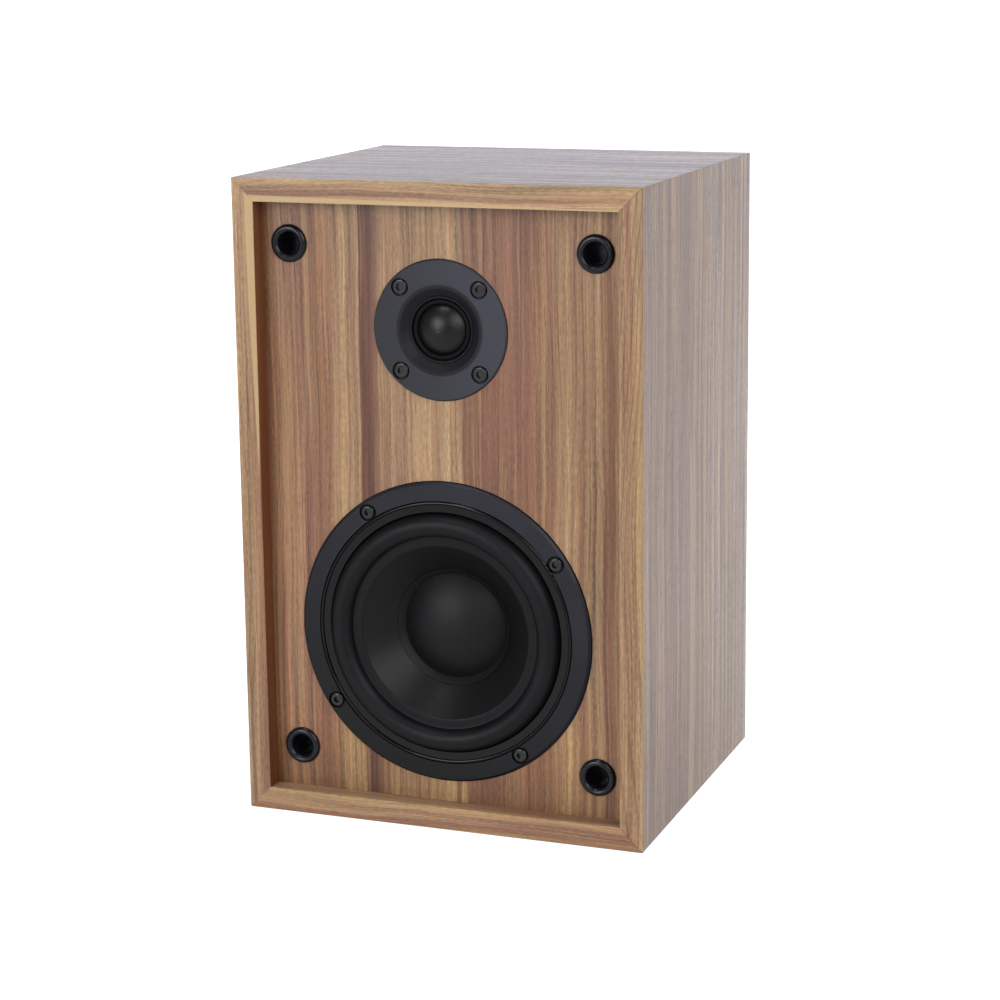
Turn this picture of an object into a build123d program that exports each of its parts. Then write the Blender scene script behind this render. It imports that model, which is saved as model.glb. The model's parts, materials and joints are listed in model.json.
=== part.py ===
from build123d import *
import os
from math import radians, tan

# A two-way bookshelf loudspeaker: a mitred wooden cabinet with a recessed front baffle, a woofer, a
# dome tweeter, four grille cups, a rear port, a rear terminal cup and the crossover inside.
# Millimetres. The origin is the middle of the cabinet's underside, the front looks along -Y and +Z is up.

# ---------------------------------------------------------------------------------------------------
# Driving dimensions
# ---------------------------------------------------------------------------------------------------

cabinet_width = 180.0
cabinet_height = 276.0
cabinet_depth = 162.0
panel_thickness = 10.0
outer_edge_radius = 0.5

baffle_recess = 8.35
baffle_thickness = 12.0
back_inset = 3.0
back_thickness = 10.0

cup_x = 67.75
cup_low_z = 28.0
cup_high_z = 248.0
cup_flange_radius = 8.05
cup_flange_height = 1.9
cup_body_radius = 6.0
cup_bore_radius = 4.75
cup_bore_depth = 9.4

woofer_z = 84.7
woofer_proud = 1.8
woofer_flange_radius = 65.25
woofer_flange_thickness = 3.5
woofer_flange_inner_radius = 57.3
woofer_hole_radius = 57.6
woofer_seal_thickness = 0.8
woofer_screw_radius = 60.5
woofer_screw_angle = 34.0
woofer_pocket_radius = 3.8
woofer_rebate_gap = 0.35
woofer_clearance_radius = 2.1

tweeter_z = 214.0
tweeter_proud = 1.2
tweeter_plate_radius = 29.5
tweeter_plate_thickness = 3.0
tweeter_hole_radius = 21.0
tweeter_seal_thickness = 0.6
tweeter_screw_radius = 24.8
tweeter_screw_angle = 45.0
tweeter_pocket_radius = 3.85
tweeter_rebate_gap = 0.3
tweeter_clearance_radius = 2.0

terminal_z = 64.0
terminal_hole_radius = 33.0
terminal_flange_radius = 39.0
terminal_screw_radius = 36.0
terminal_screw_angle = 45.0
terminal_clearance_radius = 1.9
terminal_rebate = 2.3
terminal_rebate_gap = 0.3
terminal_floor_y = 52.5
post_x = 19.05 / 2
post_radius = 3.0
post_bore_radius = 2.0

port_z = 205.0
port_radius = 18.0
port_wall = 2.0
port_hole_radius = 24.2

pocket_depth = 1.6
pilot_radius = 1.7
fit_gap = 0.05

# ---------------------------------------------------------------------------------------------------
# Sizes worked out from them
# ---------------------------------------------------------------------------------------------------

inner_width = cabinet_width - 2 * panel_thickness
inner_height = cabinet_height - 2 * panel_thickness
cabinet_front_y = -cabinet_depth / 2
baffle_y = cabinet_front_y + baffle_recess
woofer_y = baffle_y - woofer_proud
woofer_rebate = woofer_flange_thickness + woofer_seal_thickness - woofer_proud
tweeter_y = baffle_y - tweeter_proud
tweeter_rebate = tweeter_plate_thickness + tweeter_seal_thickness - tweeter_proud
back_outer_y = cabinet_depth / 2 - back_inset
back_inner_y = back_outer_y - back_thickness


def front_plane(y, z=0.0, x=0.0):
    """A plane that faces the listener: local x is X, local y is Z, and depth into the cabinet is negative."""
    return Plane(origin=(x, y, z), x_dir=(1, 0, 0), z_dir=(0, -1, 0))


def rear_plane(y, z=0.0, x=0.0):
    """A plane that faces backwards: local x is X, local y is -Z, and depth into the cabinet is negative."""
    return Plane(origin=(x, y, z), x_dir=(1, 0, 0), z_dir=(0, 1, 0))


def half_section(y, z, x=0.0):
    """The plane of a turned piece's outline: local x is its radius, and local y runs into the cabinet."""
    return Plane(origin=(x, y, z), x_dir=(1, 0, 0), z_dir=(0, 0, 1))


def depth_axis(z, x=0.0):
    """The axis of a turned piece."""
    return Axis((x, 0, z), (0, 1, 0))


def finish(part, name):
    """Label a piece and write it to its own STEP file."""
    part.label = name
    export_step(part, f"parts/{name}.step")


def ring(plane, outer_radius, inner_radius, thickness, edge=0.0):
    """A flat ring that reaches from its plane into the cabinet, with its outer edges chamfered."""
    with BuildPart() as piece:
        with BuildSketch(plane):
            Circle(outer_radius)
            Circle(inner_radius, mode=Mode.SUBTRACT)
        extrude(amount=-thickness)
        if edge:
            rims = piece.edges().filter_by(GeomType.CIRCLE)
            chamfer(rims.filter_by(lambda e: abs(e.radius - outer_radius) < 0.01), edge)
    return piece


def socket_screws(plane, ring_radius, start_angle, head_radius, head_height, shank_length):
    """Four round-headed hexagon-socket screws on one circle."""
    socket_radius = 0.52 * head_radius
    with BuildPart() as screws:
        with BuildSketch(plane):
            with PolarLocations(ring_radius, 4, start_angle=start_angle):
                Circle(head_radius)
        extrude(amount=-head_height)
        rims = screws.edges().filter_by(lambda e: abs(e.center().Y - plane.origin.Y) < 0.01)
        fillet(rims, 0.38 * head_height)
        with BuildSketch(plane.offset(-head_height)):
            with PolarLocations(ring_radius, 4, start_angle=start_angle):
                Circle(pilot_radius)
        extrude(amount=-shank_length)
        with BuildSketch(plane):
            with PolarLocations(ring_radius, 4, start_angle=start_angle):
                RegularPolygon(socket_radius, 6)
        extrude(amount=-0.65 * head_height, mode=Mode.SUBTRACT)
    return screws


def bend_radii(points):
    """The largest even bend at each corner of a wire's route."""
    spots = [Vector(*p) for p in points]
    radii = []
    for before, corner, after in zip(spots, spots[1:], spots[2:]):
        run_in = corner - before
        run_out = after - corner
        turn = radians(run_in.get_angle(run_out))
        radii.append(0.45 * min(run_in.length, run_out.length) / tan(turn / 2))
    return radii


def wires(routes, wire_radius):
    """Round wires along their routes, each one solid."""
    with BuildPart() as bundle:
        for route in routes:
            with BuildLine() as path:
                FilletPolyline(*route, radius=bend_radii(route))
            start = Plane(origin=route[0], z_dir=path.line % 0)
            with BuildSketch(start):
                Circle(wire_radius)
            sweep(path=path.line)
    return bundle


os.makedirs("parts", exist_ok=True)

# ---------------------------------------------------------------------------------------------------
# Cabinet: four mitred panels round the sides, and a baffle and a back panel let in between them
# ---------------------------------------------------------------------------------------------------

outer_x = cabinet_width / 2
inner_x = inner_width / 2
inner_top = cabinet_height - panel_thickness
panel_outlines = {
    "cabinet_top": [
        (-outer_x, cabinet_height), (outer_x, cabinet_height), (inner_x, inner_top), (-inner_x, inner_top),
    ],
    "cabinet_bottom": [
        (-outer_x, 0), (outer_x, 0), (inner_x, panel_thickness), (-inner_x, panel_thickness),
    ],
    "cabinet_left": [
        (-outer_x, 0), (-outer_x, cabinet_height), (-inner_x, inner_top), (-inner_x, panel_thickness),
    ],
    "cabinet_right": [
        (outer_x, 0), (outer_x, cabinet_height), (inner_x, inner_top), (inner_x, panel_thickness),
    ],
}

for panel_name, outline in panel_outlines.items():
    with BuildPart() as cabinet_panel:
        Box(
            cabinet_width, cabinet_depth, cabinet_height, align=(Align.CENTER, Align.CENTER, Align.MIN)
        )
        fillet(cabinet_panel.edges(), outer_edge_radius)
        with BuildSketch(front_plane(cabinet_front_y)):
            with BuildLine():
                Polyline(*outline, close=True)
            make_face()
        extrude(amount=-cabinet_depth, mode=Mode.INTERSECT)
    finish(cabinet_panel.part, panel_name)

with BuildPart() as front_baffle:
    with BuildSketch(front_plane(baffle_y, cabinet_height / 2)):
        Rectangle(inner_width, inner_height)
    extrude(amount=-baffle_thickness)
    with Locations(front_plane(baffle_y, woofer_z)):
        CounterBoreHole(woofer_hole_radius, woofer_flange_radius + woofer_rebate_gap, woofer_rebate)
        with PolarLocations(woofer_screw_radius, 4, start_angle=woofer_screw_angle):
            Hole(pilot_radius + fit_gap)
    with Locations(front_plane(baffle_y, tweeter_z)):
        CounterBoreHole(tweeter_hole_radius, tweeter_plate_radius + tweeter_rebate_gap, tweeter_rebate)
        with PolarLocations(tweeter_screw_radius, 4, start_angle=tweeter_screw_angle):
            Hole(pilot_radius + fit_gap)
    with Locations(front_plane(baffle_y, (cup_low_z + cup_high_z) / 2)):
        with GridLocations(2 * cup_x, cup_high_z - cup_low_z, 2, 2):
            Hole(cup_body_radius + fit_gap)
finish(front_baffle.part, "front_baffle")

with BuildPart() as back_panel:
    with BuildSketch(rear_plane(back_outer_y, cabinet_height / 2)):
        Rectangle(inner_width, inner_height)
    extrude(amount=-back_thickness)
    with Locations(rear_plane(back_outer_y, terminal_z)):
        CounterBoreHole(terminal_hole_radius, terminal_flange_radius + terminal_rebate_gap, terminal_rebate)
        with PolarLocations(terminal_screw_radius, 4, start_angle=terminal_screw_angle):
            Hole(pilot_radius + fit_gap)
    with Locations(rear_plane(back_outer_y, port_z)):
        Hole(port_hole_radius)
finish(back_panel.part, "back_panel")

# ---------------------------------------------------------------------------------------------------
# Grille cups: four plastic sockets pressed into the baffle, which take the pegs of a grille
# ---------------------------------------------------------------------------------------------------

cup_floor = 1.4
cup_places = {
    "grille_cup_top_left": (-cup_x, cup_high_z),
    "grille_cup_top_right": (cup_x, cup_high_z),
    "grille_cup_bottom_left": (-cup_x, cup_low_z),
    "grille_cup_bottom_right": (cup_x, cup_low_z),
}

for cup_name, (x, z) in cup_places.items():
    with BuildPart() as grille_cup:
        with BuildSketch(half_section(baffle_y, z, x)):
            with BuildLine():
                shoulder = ThreePointArc(
                    (cup_flange_radius, -0.35),
                    (cup_flange_radius - 0.62, -cup_flange_height + 0.42),
                    (cup_flange_radius - 1.9, -cup_flange_height),
                )
                mouth = ThreePointArc(
                    shoulder @ 1,
                    (cup_bore_radius + 0.42, -cup_flange_height + 0.62),
                    (cup_bore_radius, 0.9),
                )
                Polyline(
                    mouth @ 1,
                    (cup_bore_radius, cup_bore_depth),
                    (0, cup_bore_depth),
                    (0, cup_bore_depth + cup_floor),
                    (cup_body_radius, cup_bore_depth + cup_floor),
                    (cup_body_radius, 0),
                    (cup_flange_radius, 0),
                    shoulder @ 0,
                )
            make_face()
        revolve(axis=depth_axis(z, x))
    finish(grille_cup.part, cup_name)

# ---------------------------------------------------------------------------------------------------
# Woofer. Depths count from the front face of its flange, inwards.
# ---------------------------------------------------------------------------------------------------

woofer_section = half_section(woofer_y, woofer_z)
woofer_axis = depth_axis(woofer_z)
ledge_depth = 3.0
ledge_inner_radius = 50.6
ledge_thickness = 1.6
spider_seat_depth = 25.0
spider_seat_radius = 40.6
basket_floor_depth = 36.5
basket_back_depth = 38.5
basket_rim_radius = 56.9
basket_wall = 2.0
bowl_outer_radius = 34.0
bowl_wall = 2.2
basket_hole_radius = 20.0
window_depth = 6.0
window_length = 20.4
window_outer_radius = 53.0
window_inner_radius = 42.8
leg_count = 6
leg_length = 14.0
leg_width = 9.0

with BuildPart() as woofer_basket:
    with BuildSketch(woofer_section):
        with BuildLine():
            Polyline(
                (woofer_flange_inner_radius, 0),
                (woofer_flange_radius - 1.0, 0),
                (woofer_flange_radius, 0.9),
                (woofer_flange_radius, woofer_flange_thickness),
                (basket_rim_radius, woofer_flange_thickness),
                (basket_rim_radius, 9.0),
                (42.0, spider_seat_depth + basket_wall),
                (bowl_outer_radius, spider_seat_depth + basket_wall),
                (bowl_outer_radius, basket_back_depth),
                (basket_hole_radius, basket_back_depth),
                (basket_hole_radius, basket_floor_depth),
                (bowl_outer_radius - bowl_wall, basket_floor_depth),
                (bowl_outer_radius - bowl_wall, spider_seat_depth),
                (spider_seat_radius, spider_seat_depth),
                (basket_rim_radius - basket_wall, 8.2),
                (basket_rim_radius - basket_wall, ledge_depth + ledge_thickness),
                (ledge_inner_radius, ledge_depth + ledge_thickness),
                (ledge_inner_radius, ledge_depth),
                (woofer_flange_inner_radius, ledge_depth),
                close=True,
            )
        make_face()
    revolve(axis=woofer_axis)
    with BuildSketch(front_plane(woofer_y + window_depth, woofer_z)):
        Circle(window_outer_radius)
        Circle(window_inner_radius, mode=Mode.SUBTRACT)
        with PolarLocations((window_outer_radius + window_inner_radius) / 2, leg_count):
            Rectangle(leg_length, leg_width, mode=Mode.SUBTRACT)
    extrude(amount=-window_length, mode=Mode.SUBTRACT)
    with Locations(front_plane(woofer_y, woofer_z)):
        with PolarLocations(woofer_screw_radius, 4, start_angle=woofer_screw_angle):
            CounterBoreHole(
                woofer_clearance_radius, woofer_pocket_radius, pocket_depth, depth=woofer_flange_thickness
            )
finish(woofer_basket.part, "woofer_basket")

with BuildPart() as woofer_seal:
    with BuildSketch(front_plane(woofer_y + woofer_flange_thickness, woofer_z)):
        Circle(woofer_flange_radius - 0.3)
        Circle(woofer_hole_radius + 0.3, mode=Mode.SUBTRACT)
        with PolarLocations(woofer_screw_radius, 4, start_angle=woofer_screw_angle):
            Circle(woofer_clearance_radius, mode=Mode.SUBTRACT)
    extrude(amount=-woofer_seal_thickness)
finish(woofer_seal.part, "woofer_seal")

woofer_head_radius = 2.95
woofer_head_height = 2.1
woofer_screw_length = 12.0
woofer_screws = socket_screws(
    front_plane(woofer_y + pocket_depth - woofer_head_height, woofer_z),
    woofer_screw_radius, woofer_screw_angle, woofer_head_radius, woofer_head_height, woofer_screw_length,
)
finish(woofer_screws.part, "woofer_screws")

trim_inner_radius = 52.0
trim_outer_radius = 57.0
surround_lip = 0.8
with BuildPart() as woofer_trim_ring:
    with BuildSketch(woofer_section):
        with BuildLine():
            bead = ThreePointArc((55.6, 0.45), (56.35, -0.35), (trim_outer_radius, 0.45))
            Polyline(
                bead @ 1,
                (trim_outer_radius, ledge_depth - surround_lip),
                (trim_inner_radius, ledge_depth - surround_lip),
                (trim_inner_radius, 1.0),
                (52.5, 0.6),
                bead @ 0,
            )
        make_face()
    revolve(axis=woofer_axis)
finish(woofer_trim_ring.part, "woofer_trim_ring")

# The cone's front is one straight slope from its flat rim down to its neck.
rim_depth = 0.8
rim_inner_radius = 37.7
rim_outer_radius = 41.7
cone_thickness = 0.5
cone_slope = 0.89
former_inner_radius = 12.65
former_radius = 12.85


def cone_depth(radius):
    """How far the cone's front lies behind the flange's front face at a radius."""
    return rim_depth + cone_slope * (rim_inner_radius - radius)


cone_back = cone_thickness * (1 + cone_slope**2) ** 0.5
with BuildPart() as woofer_cone:
    with BuildSketch(woofer_section):
        with BuildLine():
            Polyline(
                (rim_outer_radius, rim_depth),
                (rim_inner_radius, rim_depth),
                (former_radius, cone_depth(former_radius)),
                (former_radius, cone_depth(former_radius) + cone_back),
                (rim_inner_radius - 0.2, rim_depth + cone_thickness + 0.35),
                (rim_outer_radius, rim_depth + cone_thickness),
                close=True,
            )
        make_face()
    revolve(axis=woofer_axis)
finish(woofer_cone.part, "woofer_cone")

surround_thickness = 0.6
roll_outer_radius = 51.6
roll_inner_radius = 41.9
roll_crest_depth = -4.3
roll_middle = (roll_outer_radius + roll_inner_radius) / 2
with BuildPart() as woofer_surround:
    with BuildSketch(woofer_section):
        with BuildLine():
            front = ThreePointArc(
                (roll_outer_radius, 0.4), (roll_middle, roll_crest_depth), (roll_inner_radius, 0.2)
            )
            back = ThreePointArc(
                (roll_inner_radius + surround_thickness, rim_depth),
                (roll_middle, roll_crest_depth + surround_thickness),
                (roll_outer_radius - surround_thickness, 0.7),
            )
            Polyline(
                front @ 1,
                (rim_inner_radius, rim_depth - 0.45),
                (rim_inner_radius, rim_depth),
                back @ 0,
            )
            Polyline(
                back @ 1,
                (roll_outer_radius - surround_thickness, ledge_depth),
                (trim_outer_radius, ledge_depth),
                (trim_outer_radius, ledge_depth - surround_lip),
                (roll_outer_radius, ledge_depth - surround_lip),
                front @ 0,
            )
        make_face()
    revolve(axis=woofer_axis)
finish(woofer_surround.part, "woofer_surround")

cap_lip_radius = 25.8
cap_radius = 22.9
cap_height = 8.0
cap_thickness = 0.6
cap_base = cone_depth(cap_radius) - cap_thickness
with BuildPart() as woofer_dust_cap:
    with BuildSketch(woofer_section):
        with BuildLine():
            dome_front = TangentArc((0, cap_base - cap_height), (cap_radius, cap_base), tangent=(1, 0))
            dome_back = TangentArc(
                (0, cap_base - cap_height + cap_thickness),
                (cap_radius - cap_thickness, cone_depth(cap_radius - cap_thickness)),
                tangent=(1, 0),
            )
            Polyline(
                dome_front @ 1,
                (cap_lip_radius - 0.2, cone_depth(cap_lip_radius) - 0.3),
                (cap_lip_radius, cone_depth(cap_lip_radius)),
                dome_back @ 1,
            )
            Line(dome_back @ 0, dome_front @ 0)
        make_face()
    revolve(axis=woofer_axis)
finish(woofer_dust_cap.part, "woofer_dust_cap")

former_front = cone_depth(former_radius)
former_length = 24.5
coil_radius = 13.45
coil_front = 35.5
coil_length = 11.0
woofer_former = ring(
    front_plane(woofer_y + former_front, woofer_z), former_radius, former_inner_radius, former_length
)
finish(woofer_former.part, "woofer_former")
woofer_coil = ring(
    front_plane(woofer_y + coil_front, woofer_z), coil_radius, former_radius, coil_length
)
finish(woofer_coil.part, "woofer_coil")

# The spider is a corrugated cloth disc from the former out to its seat in the basket.
spider_thickness = 0.5
spider_wave = 3.0
spider_waves = 5
spider_wave_height = 0.9
spider_start = 15.5
spider_front = spider_seat_depth - spider_thickness
spider_rim_radius = spider_seat_radius - 0.4
spider_end = spider_start + spider_wave * spider_waves
with BuildPart() as woofer_spider:
    with BuildSketch(woofer_section):
        with BuildLine():
            for offset in (0, spider_thickness):
                Line((former_radius, spider_front + offset), (spider_start, spider_front + offset))
                for wave in range(spider_waves):
                    wave_start = spider_start + wave * spider_wave
                    side = spider_wave_height if wave % 2 else -spider_wave_height
                    ThreePointArc(
                        (wave_start, spider_front + offset),
                        (wave_start + spider_wave / 2, spider_front + offset + side),
                        (wave_start + spider_wave, spider_front + offset),
                    )
                Line((spider_end, spider_front + offset), (spider_rim_radius, spider_front + offset))
            Line((former_radius, spider_front), (former_radius, spider_seat_depth))
            Line((spider_rim_radius, spider_front), (spider_rim_radius, spider_seat_depth))
        make_face()
    revolve(axis=woofer_axis)
finish(woofer_spider.part, "woofer_spider")

# Magnet system: top plate, ferrite ring and a yoke whose pole fills the middle of the voice coil.
plate_thickness = 5.0
magnet_thickness = 15.0
gap_radius = 13.85
pole_radius = 12.3
pole_vent_radius = 3.0
top_plate_radius = 36.0
magnet_radius = 40.0
magnet_hole_radius = 19.0
woofer_magnet_front = basket_back_depth + plate_thickness
woofer_yoke_front = woofer_magnet_front + magnet_thickness
woofer_top_plate = ring(
    front_plane(woofer_y + basket_back_depth, woofer_z), top_plate_radius, gap_radius, plate_thickness, 0.8
)
finish(woofer_top_plate.part, "woofer_top_plate")
woofer_magnet = ring(
    front_plane(woofer_y + woofer_magnet_front, woofer_z),
    magnet_radius, magnet_hole_radius, magnet_thickness, 1.2,
)
finish(woofer_magnet.part, "woofer_magnet")
with BuildPart() as woofer_yoke:
    with BuildSketch(woofer_section):
        with BuildLine():
            Polyline(
                (pole_vent_radius, basket_back_depth),
                (pole_radius, basket_back_depth),
                (pole_radius, woofer_yoke_front),
                (top_plate_radius, woofer_yoke_front),
                (top_plate_radius, woofer_yoke_front + plate_thickness - 1.2),
                (top_plate_radius - 1.2, woofer_yoke_front + plate_thickness),
                (pole_vent_radius, woofer_yoke_front + plate_thickness),
                close=True,
            )
        make_face()
    revolve(axis=woofer_axis)
finish(woofer_yoke.part, "woofer_yoke")

# Terminal strip under the spider seat, and the braided leads out to the cone.
strip_y = woofer_y + 27.0
strip_thickness = 1.5
tag_x = 8.0
tag_width = 4.0
tag_length = 9.0
tag_thickness = 0.8
strip_drop = 46.0
with BuildPart() as woofer_terminal_strip:
    with BuildSketch(front_plane(strip_y, woofer_z - strip_drop)):
        RectangleRounded(26.0, 19.0, 2.0)
    extrude(amount=-strip_thickness)
    with BuildSketch(front_plane(strip_y, woofer_z)):
        Circle(bowl_outer_radius)
    extrude(amount=-strip_thickness, mode=Mode.SUBTRACT)
finish(woofer_terminal_strip.part, "woofer_terminal_strip")

woofer_tag_z = woofer_z - strip_drop - 6.0

lead_radius = 0.6
lead_start_radius = 24.0
lead_start_y = woofer_y + cone_depth(lead_start_radius) + cone_back + 0.5
lead_routes = [
    [
        (side * 0.5 * tag_x, lead_start_y, woofer_z - lead_start_radius + 0.35),
        (side * 0.6 * tag_x, lead_start_y + 4.0, woofer_z - lead_start_radius - 4.5),
        (side * 0.8 * tag_x, lead_start_y + 4.5, woofer_z - lead_start_radius - 12.0),
        (side * tag_x, lead_start_y + 7.0, woofer_z - 45.5),
        (side * tag_x, strip_y - fit_gap, woofer_z - 46.5),
    ]
    for side in (-1, 1)
]
woofer_braid_leads = wires(lead_routes, lead_radius)
finish(woofer_braid_leads.part, "woofer_braid_leads")

# ---------------------------------------------------------------------------------------------------
# Tweeter. Depths count from the front face of its plate, inwards.
# ---------------------------------------------------------------------------------------------------

tweeter_section = half_section(tweeter_y, tweeter_z)
tweeter_axis = depth_axis(tweeter_z)
throat_radius = 13.2
diaphragm_seat = 3.4
boss_radius = 20.5
boss_depth = 6.0
boss_bore_radius = 16.7

with BuildPart() as tweeter_plate:
    with BuildSketch(tweeter_section):
        with BuildLine():
            lip = ThreePointArc((14.1, 2.35), (13.75, 1.95), (throat_radius, 2.3))
            Polyline(
                lip @ 1,
                (throat_radius, diaphragm_seat),
                (boss_bore_radius, diaphragm_seat),
                (boss_bore_radius, boss_depth),
                (boss_radius, boss_depth),
                (boss_radius, tweeter_plate_thickness),
                (tweeter_plate_radius, tweeter_plate_thickness),
                (tweeter_plate_radius, 0.5),
                (tweeter_plate_radius - 0.5, 0),
                (17.5, 0),
                lip @ 0,
            )
        make_face()
    revolve(axis=tweeter_axis)
    with Locations(front_plane(tweeter_y, tweeter_z)):
        with PolarLocations(tweeter_screw_radius, 4, start_angle=tweeter_screw_angle):
            CounterBoreHole(
                tweeter_clearance_radius, tweeter_pocket_radius, pocket_depth, depth=tweeter_plate_thickness
            )
finish(tweeter_plate.part, "tweeter_plate")

with BuildPart() as tweeter_seal:
    with BuildSketch(front_plane(tweeter_y + tweeter_plate_thickness, tweeter_z)):
        Circle(tweeter_plate_radius - 0.2)
        Circle(tweeter_hole_radius + 0.2, mode=Mode.SUBTRACT)
        with PolarLocations(tweeter_screw_radius, 4, start_angle=tweeter_screw_angle):
            Circle(tweeter_clearance_radius, mode=Mode.SUBTRACT)
    extrude(amount=-tweeter_seal_thickness)
finish(tweeter_seal.part, "tweeter_seal")

tweeter_head_radius = 3.2
tweeter_head_height = 1.6
tweeter_screw_length = 11.0
tweeter_screws = socket_screws(
    front_plane(tweeter_y + pocket_depth - tweeter_head_height, tweeter_z),
    tweeter_screw_radius, tweeter_screw_angle, tweeter_head_radius, tweeter_head_height, tweeter_screw_length,
)
finish(tweeter_screws.part, "tweeter_screws")

# The dome, its half-roll edge and the coil below it.
dome_radius = 10.6
dome_height = 4.8
dome_base = 3.1
dome_thickness = 0.3
tweeter_roll_radius = 12.9
tweeter_coil_inner_radius = 9.9
tweeter_coil_radius = 10.4
tweeter_coil_length = 6.2

with BuildPart() as tweeter_dome:
    with BuildSketch(tweeter_section):
        with BuildLine():
            dome_front = TangentArc((0, dome_base - dome_height), (dome_radius, dome_base), tangent=(1, 0))
            dome_back = TangentArc(
                (0, dome_base - dome_height + dome_thickness),
                (dome_radius - dome_thickness, dome_base + dome_thickness),
                tangent=(1, 0),
            )
            Polyline(dome_front @ 1, (dome_radius, dome_base + dome_thickness), dome_back @ 1)
            Line(dome_back @ 0, dome_front @ 0)
        make_face()
    revolve(axis=tweeter_axis)
finish(tweeter_dome.part, "tweeter_dome")

roll_rise = 0.9
roll_mid = (dome_radius + tweeter_roll_radius) / 2
with BuildPart() as tweeter_surround:
    with BuildSketch(tweeter_section):
        with BuildLine():
            front = ThreePointArc(
                (dome_radius, dome_base), (roll_mid, dome_base - roll_rise), (tweeter_roll_radius, dome_base)
            )
            back = ThreePointArc(
                (dome_radius, dome_base + dome_thickness),
                (roll_mid, dome_base + dome_thickness - roll_rise),
                (tweeter_roll_radius - 0.1, diaphragm_seat + dome_thickness),
            )
            Line(front @ 0, back @ 0)
            Polyline(
                front @ 1,
                (tweeter_roll_radius, diaphragm_seat),
                (boss_bore_radius - 0.2, diaphragm_seat),
                (boss_bore_radius - 0.2, diaphragm_seat + dome_thickness),
                back @ 1,
            )
        make_face()
    revolve(axis=tweeter_axis)
finish(tweeter_surround.part, "tweeter_surround")

tweeter_spacer = ring(
    front_plane(tweeter_y + diaphragm_seat + dome_thickness, tweeter_z),
    boss_bore_radius - 0.1, throat_radius, boss_depth - diaphragm_seat - dome_thickness,
)
finish(tweeter_spacer.part, "tweeter_spacer")

tweeter_coil = ring(
    front_plane(tweeter_y + dome_base + dome_thickness, tweeter_z),
    tweeter_coil_radius, tweeter_coil_inner_radius, tweeter_coil_length,
)
finish(tweeter_coil.part, "tweeter_coil")

tweeter_steel_thickness = 3.0
tweeter_magnet_thickness = 9.0
tweeter_magnet_radius = 20.0
tweeter_steel_radius = 19.5
tweeter_gap_radius = 10.8
tweeter_pole_radius = 9.5
tweeter_plate_depth = boss_depth + tweeter_steel_thickness
tweeter_magnet_depth = tweeter_plate_depth + tweeter_magnet_thickness
tweeter_back_depth = tweeter_magnet_depth + tweeter_steel_thickness
tweeter_top_plate = ring(
    front_plane(tweeter_y + boss_depth, tweeter_z),
    tweeter_steel_radius, tweeter_gap_radius, tweeter_steel_thickness, 0.4,
)
finish(tweeter_top_plate.part, "tweeter_top_plate")
tweeter_magnet = ring(
    front_plane(tweeter_y + tweeter_plate_depth, tweeter_z),
    tweeter_magnet_radius, 12.5, tweeter_magnet_thickness, 0.6,
)
finish(tweeter_magnet.part, "tweeter_magnet")
with BuildPart() as tweeter_yoke:
    with BuildSketch(tweeter_section):
        with BuildLine():
            Polyline(
                (0, boss_depth),
                (tweeter_pole_radius, boss_depth),
                (tweeter_pole_radius, tweeter_magnet_depth),
                (tweeter_steel_radius - 0.5, tweeter_magnet_depth),
                (tweeter_steel_radius - 0.5, tweeter_back_depth),
                (0, tweeter_back_depth),
                close=True,
            )
        make_face()
    revolve(axis=tweeter_axis)
finish(tweeter_yoke.part, "tweeter_yoke")

tweeter_strip_y = tweeter_y + tweeter_back_depth
with BuildPart() as tweeter_terminal_strip:
    with BuildSketch(front_plane(tweeter_strip_y, tweeter_z)):
        RectangleRounded(24.0, 9.0, 1.5)
    extrude(amount=-strip_thickness)
finish(tweeter_terminal_strip.part, "tweeter_terminal_strip")

# Four push-on tags, two riveted to each driver's strip.
tweeter_tag_z = tweeter_z - 3.0
with BuildPart() as driver_tags:
    for y, z in (
        (strip_y + strip_thickness, woofer_tag_z), (tweeter_strip_y + strip_thickness, tweeter_tag_z)
    ):
        with BuildSketch(front_plane(y, z)):
            with GridLocations(2 * tag_x, 0, 2, 1):
                Rectangle(tag_width, tag_length)
        extrude(amount=-tag_thickness)
finish(driver_tags.part, "driver_tags")

# ---------------------------------------------------------------------------------------------------
# Rear port and terminal cup
# ---------------------------------------------------------------------------------------------------

port_inner_y = -5.0
port_flange_y = back_outer_y + 2.0
port_mouth_radius = port_radius + 6.5
port_flare_length = 14.0
port_rim_radius = 31.0
with BuildPart() as port_tube:
    with BuildSketch(half_section(0, port_z)):
        with BuildLine():
            flare = TangentArc(
                (port_radius, port_flange_y - port_flare_length),
                (port_mouth_radius, port_flange_y),
                tangent=(0, 1),
            )
            Polyline(
                flare @ 1,
                (port_rim_radius - 1.0, port_flange_y),
                (port_rim_radius, port_flange_y - 1.0),
                (port_rim_radius, back_outer_y),
                (port_hole_radius - 0.2, back_outer_y),
                (port_hole_radius - 0.2, back_inner_y + 2.0),
                (port_radius + port_wall, back_inner_y - 6.0),
                (port_radius + port_wall, port_inner_y),
                (port_radius, port_inner_y),
                flare @ 0,
            )
        make_face()
    revolve(axis=depth_axis(port_z))
finish(port_tube.part, "port_tube")

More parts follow.
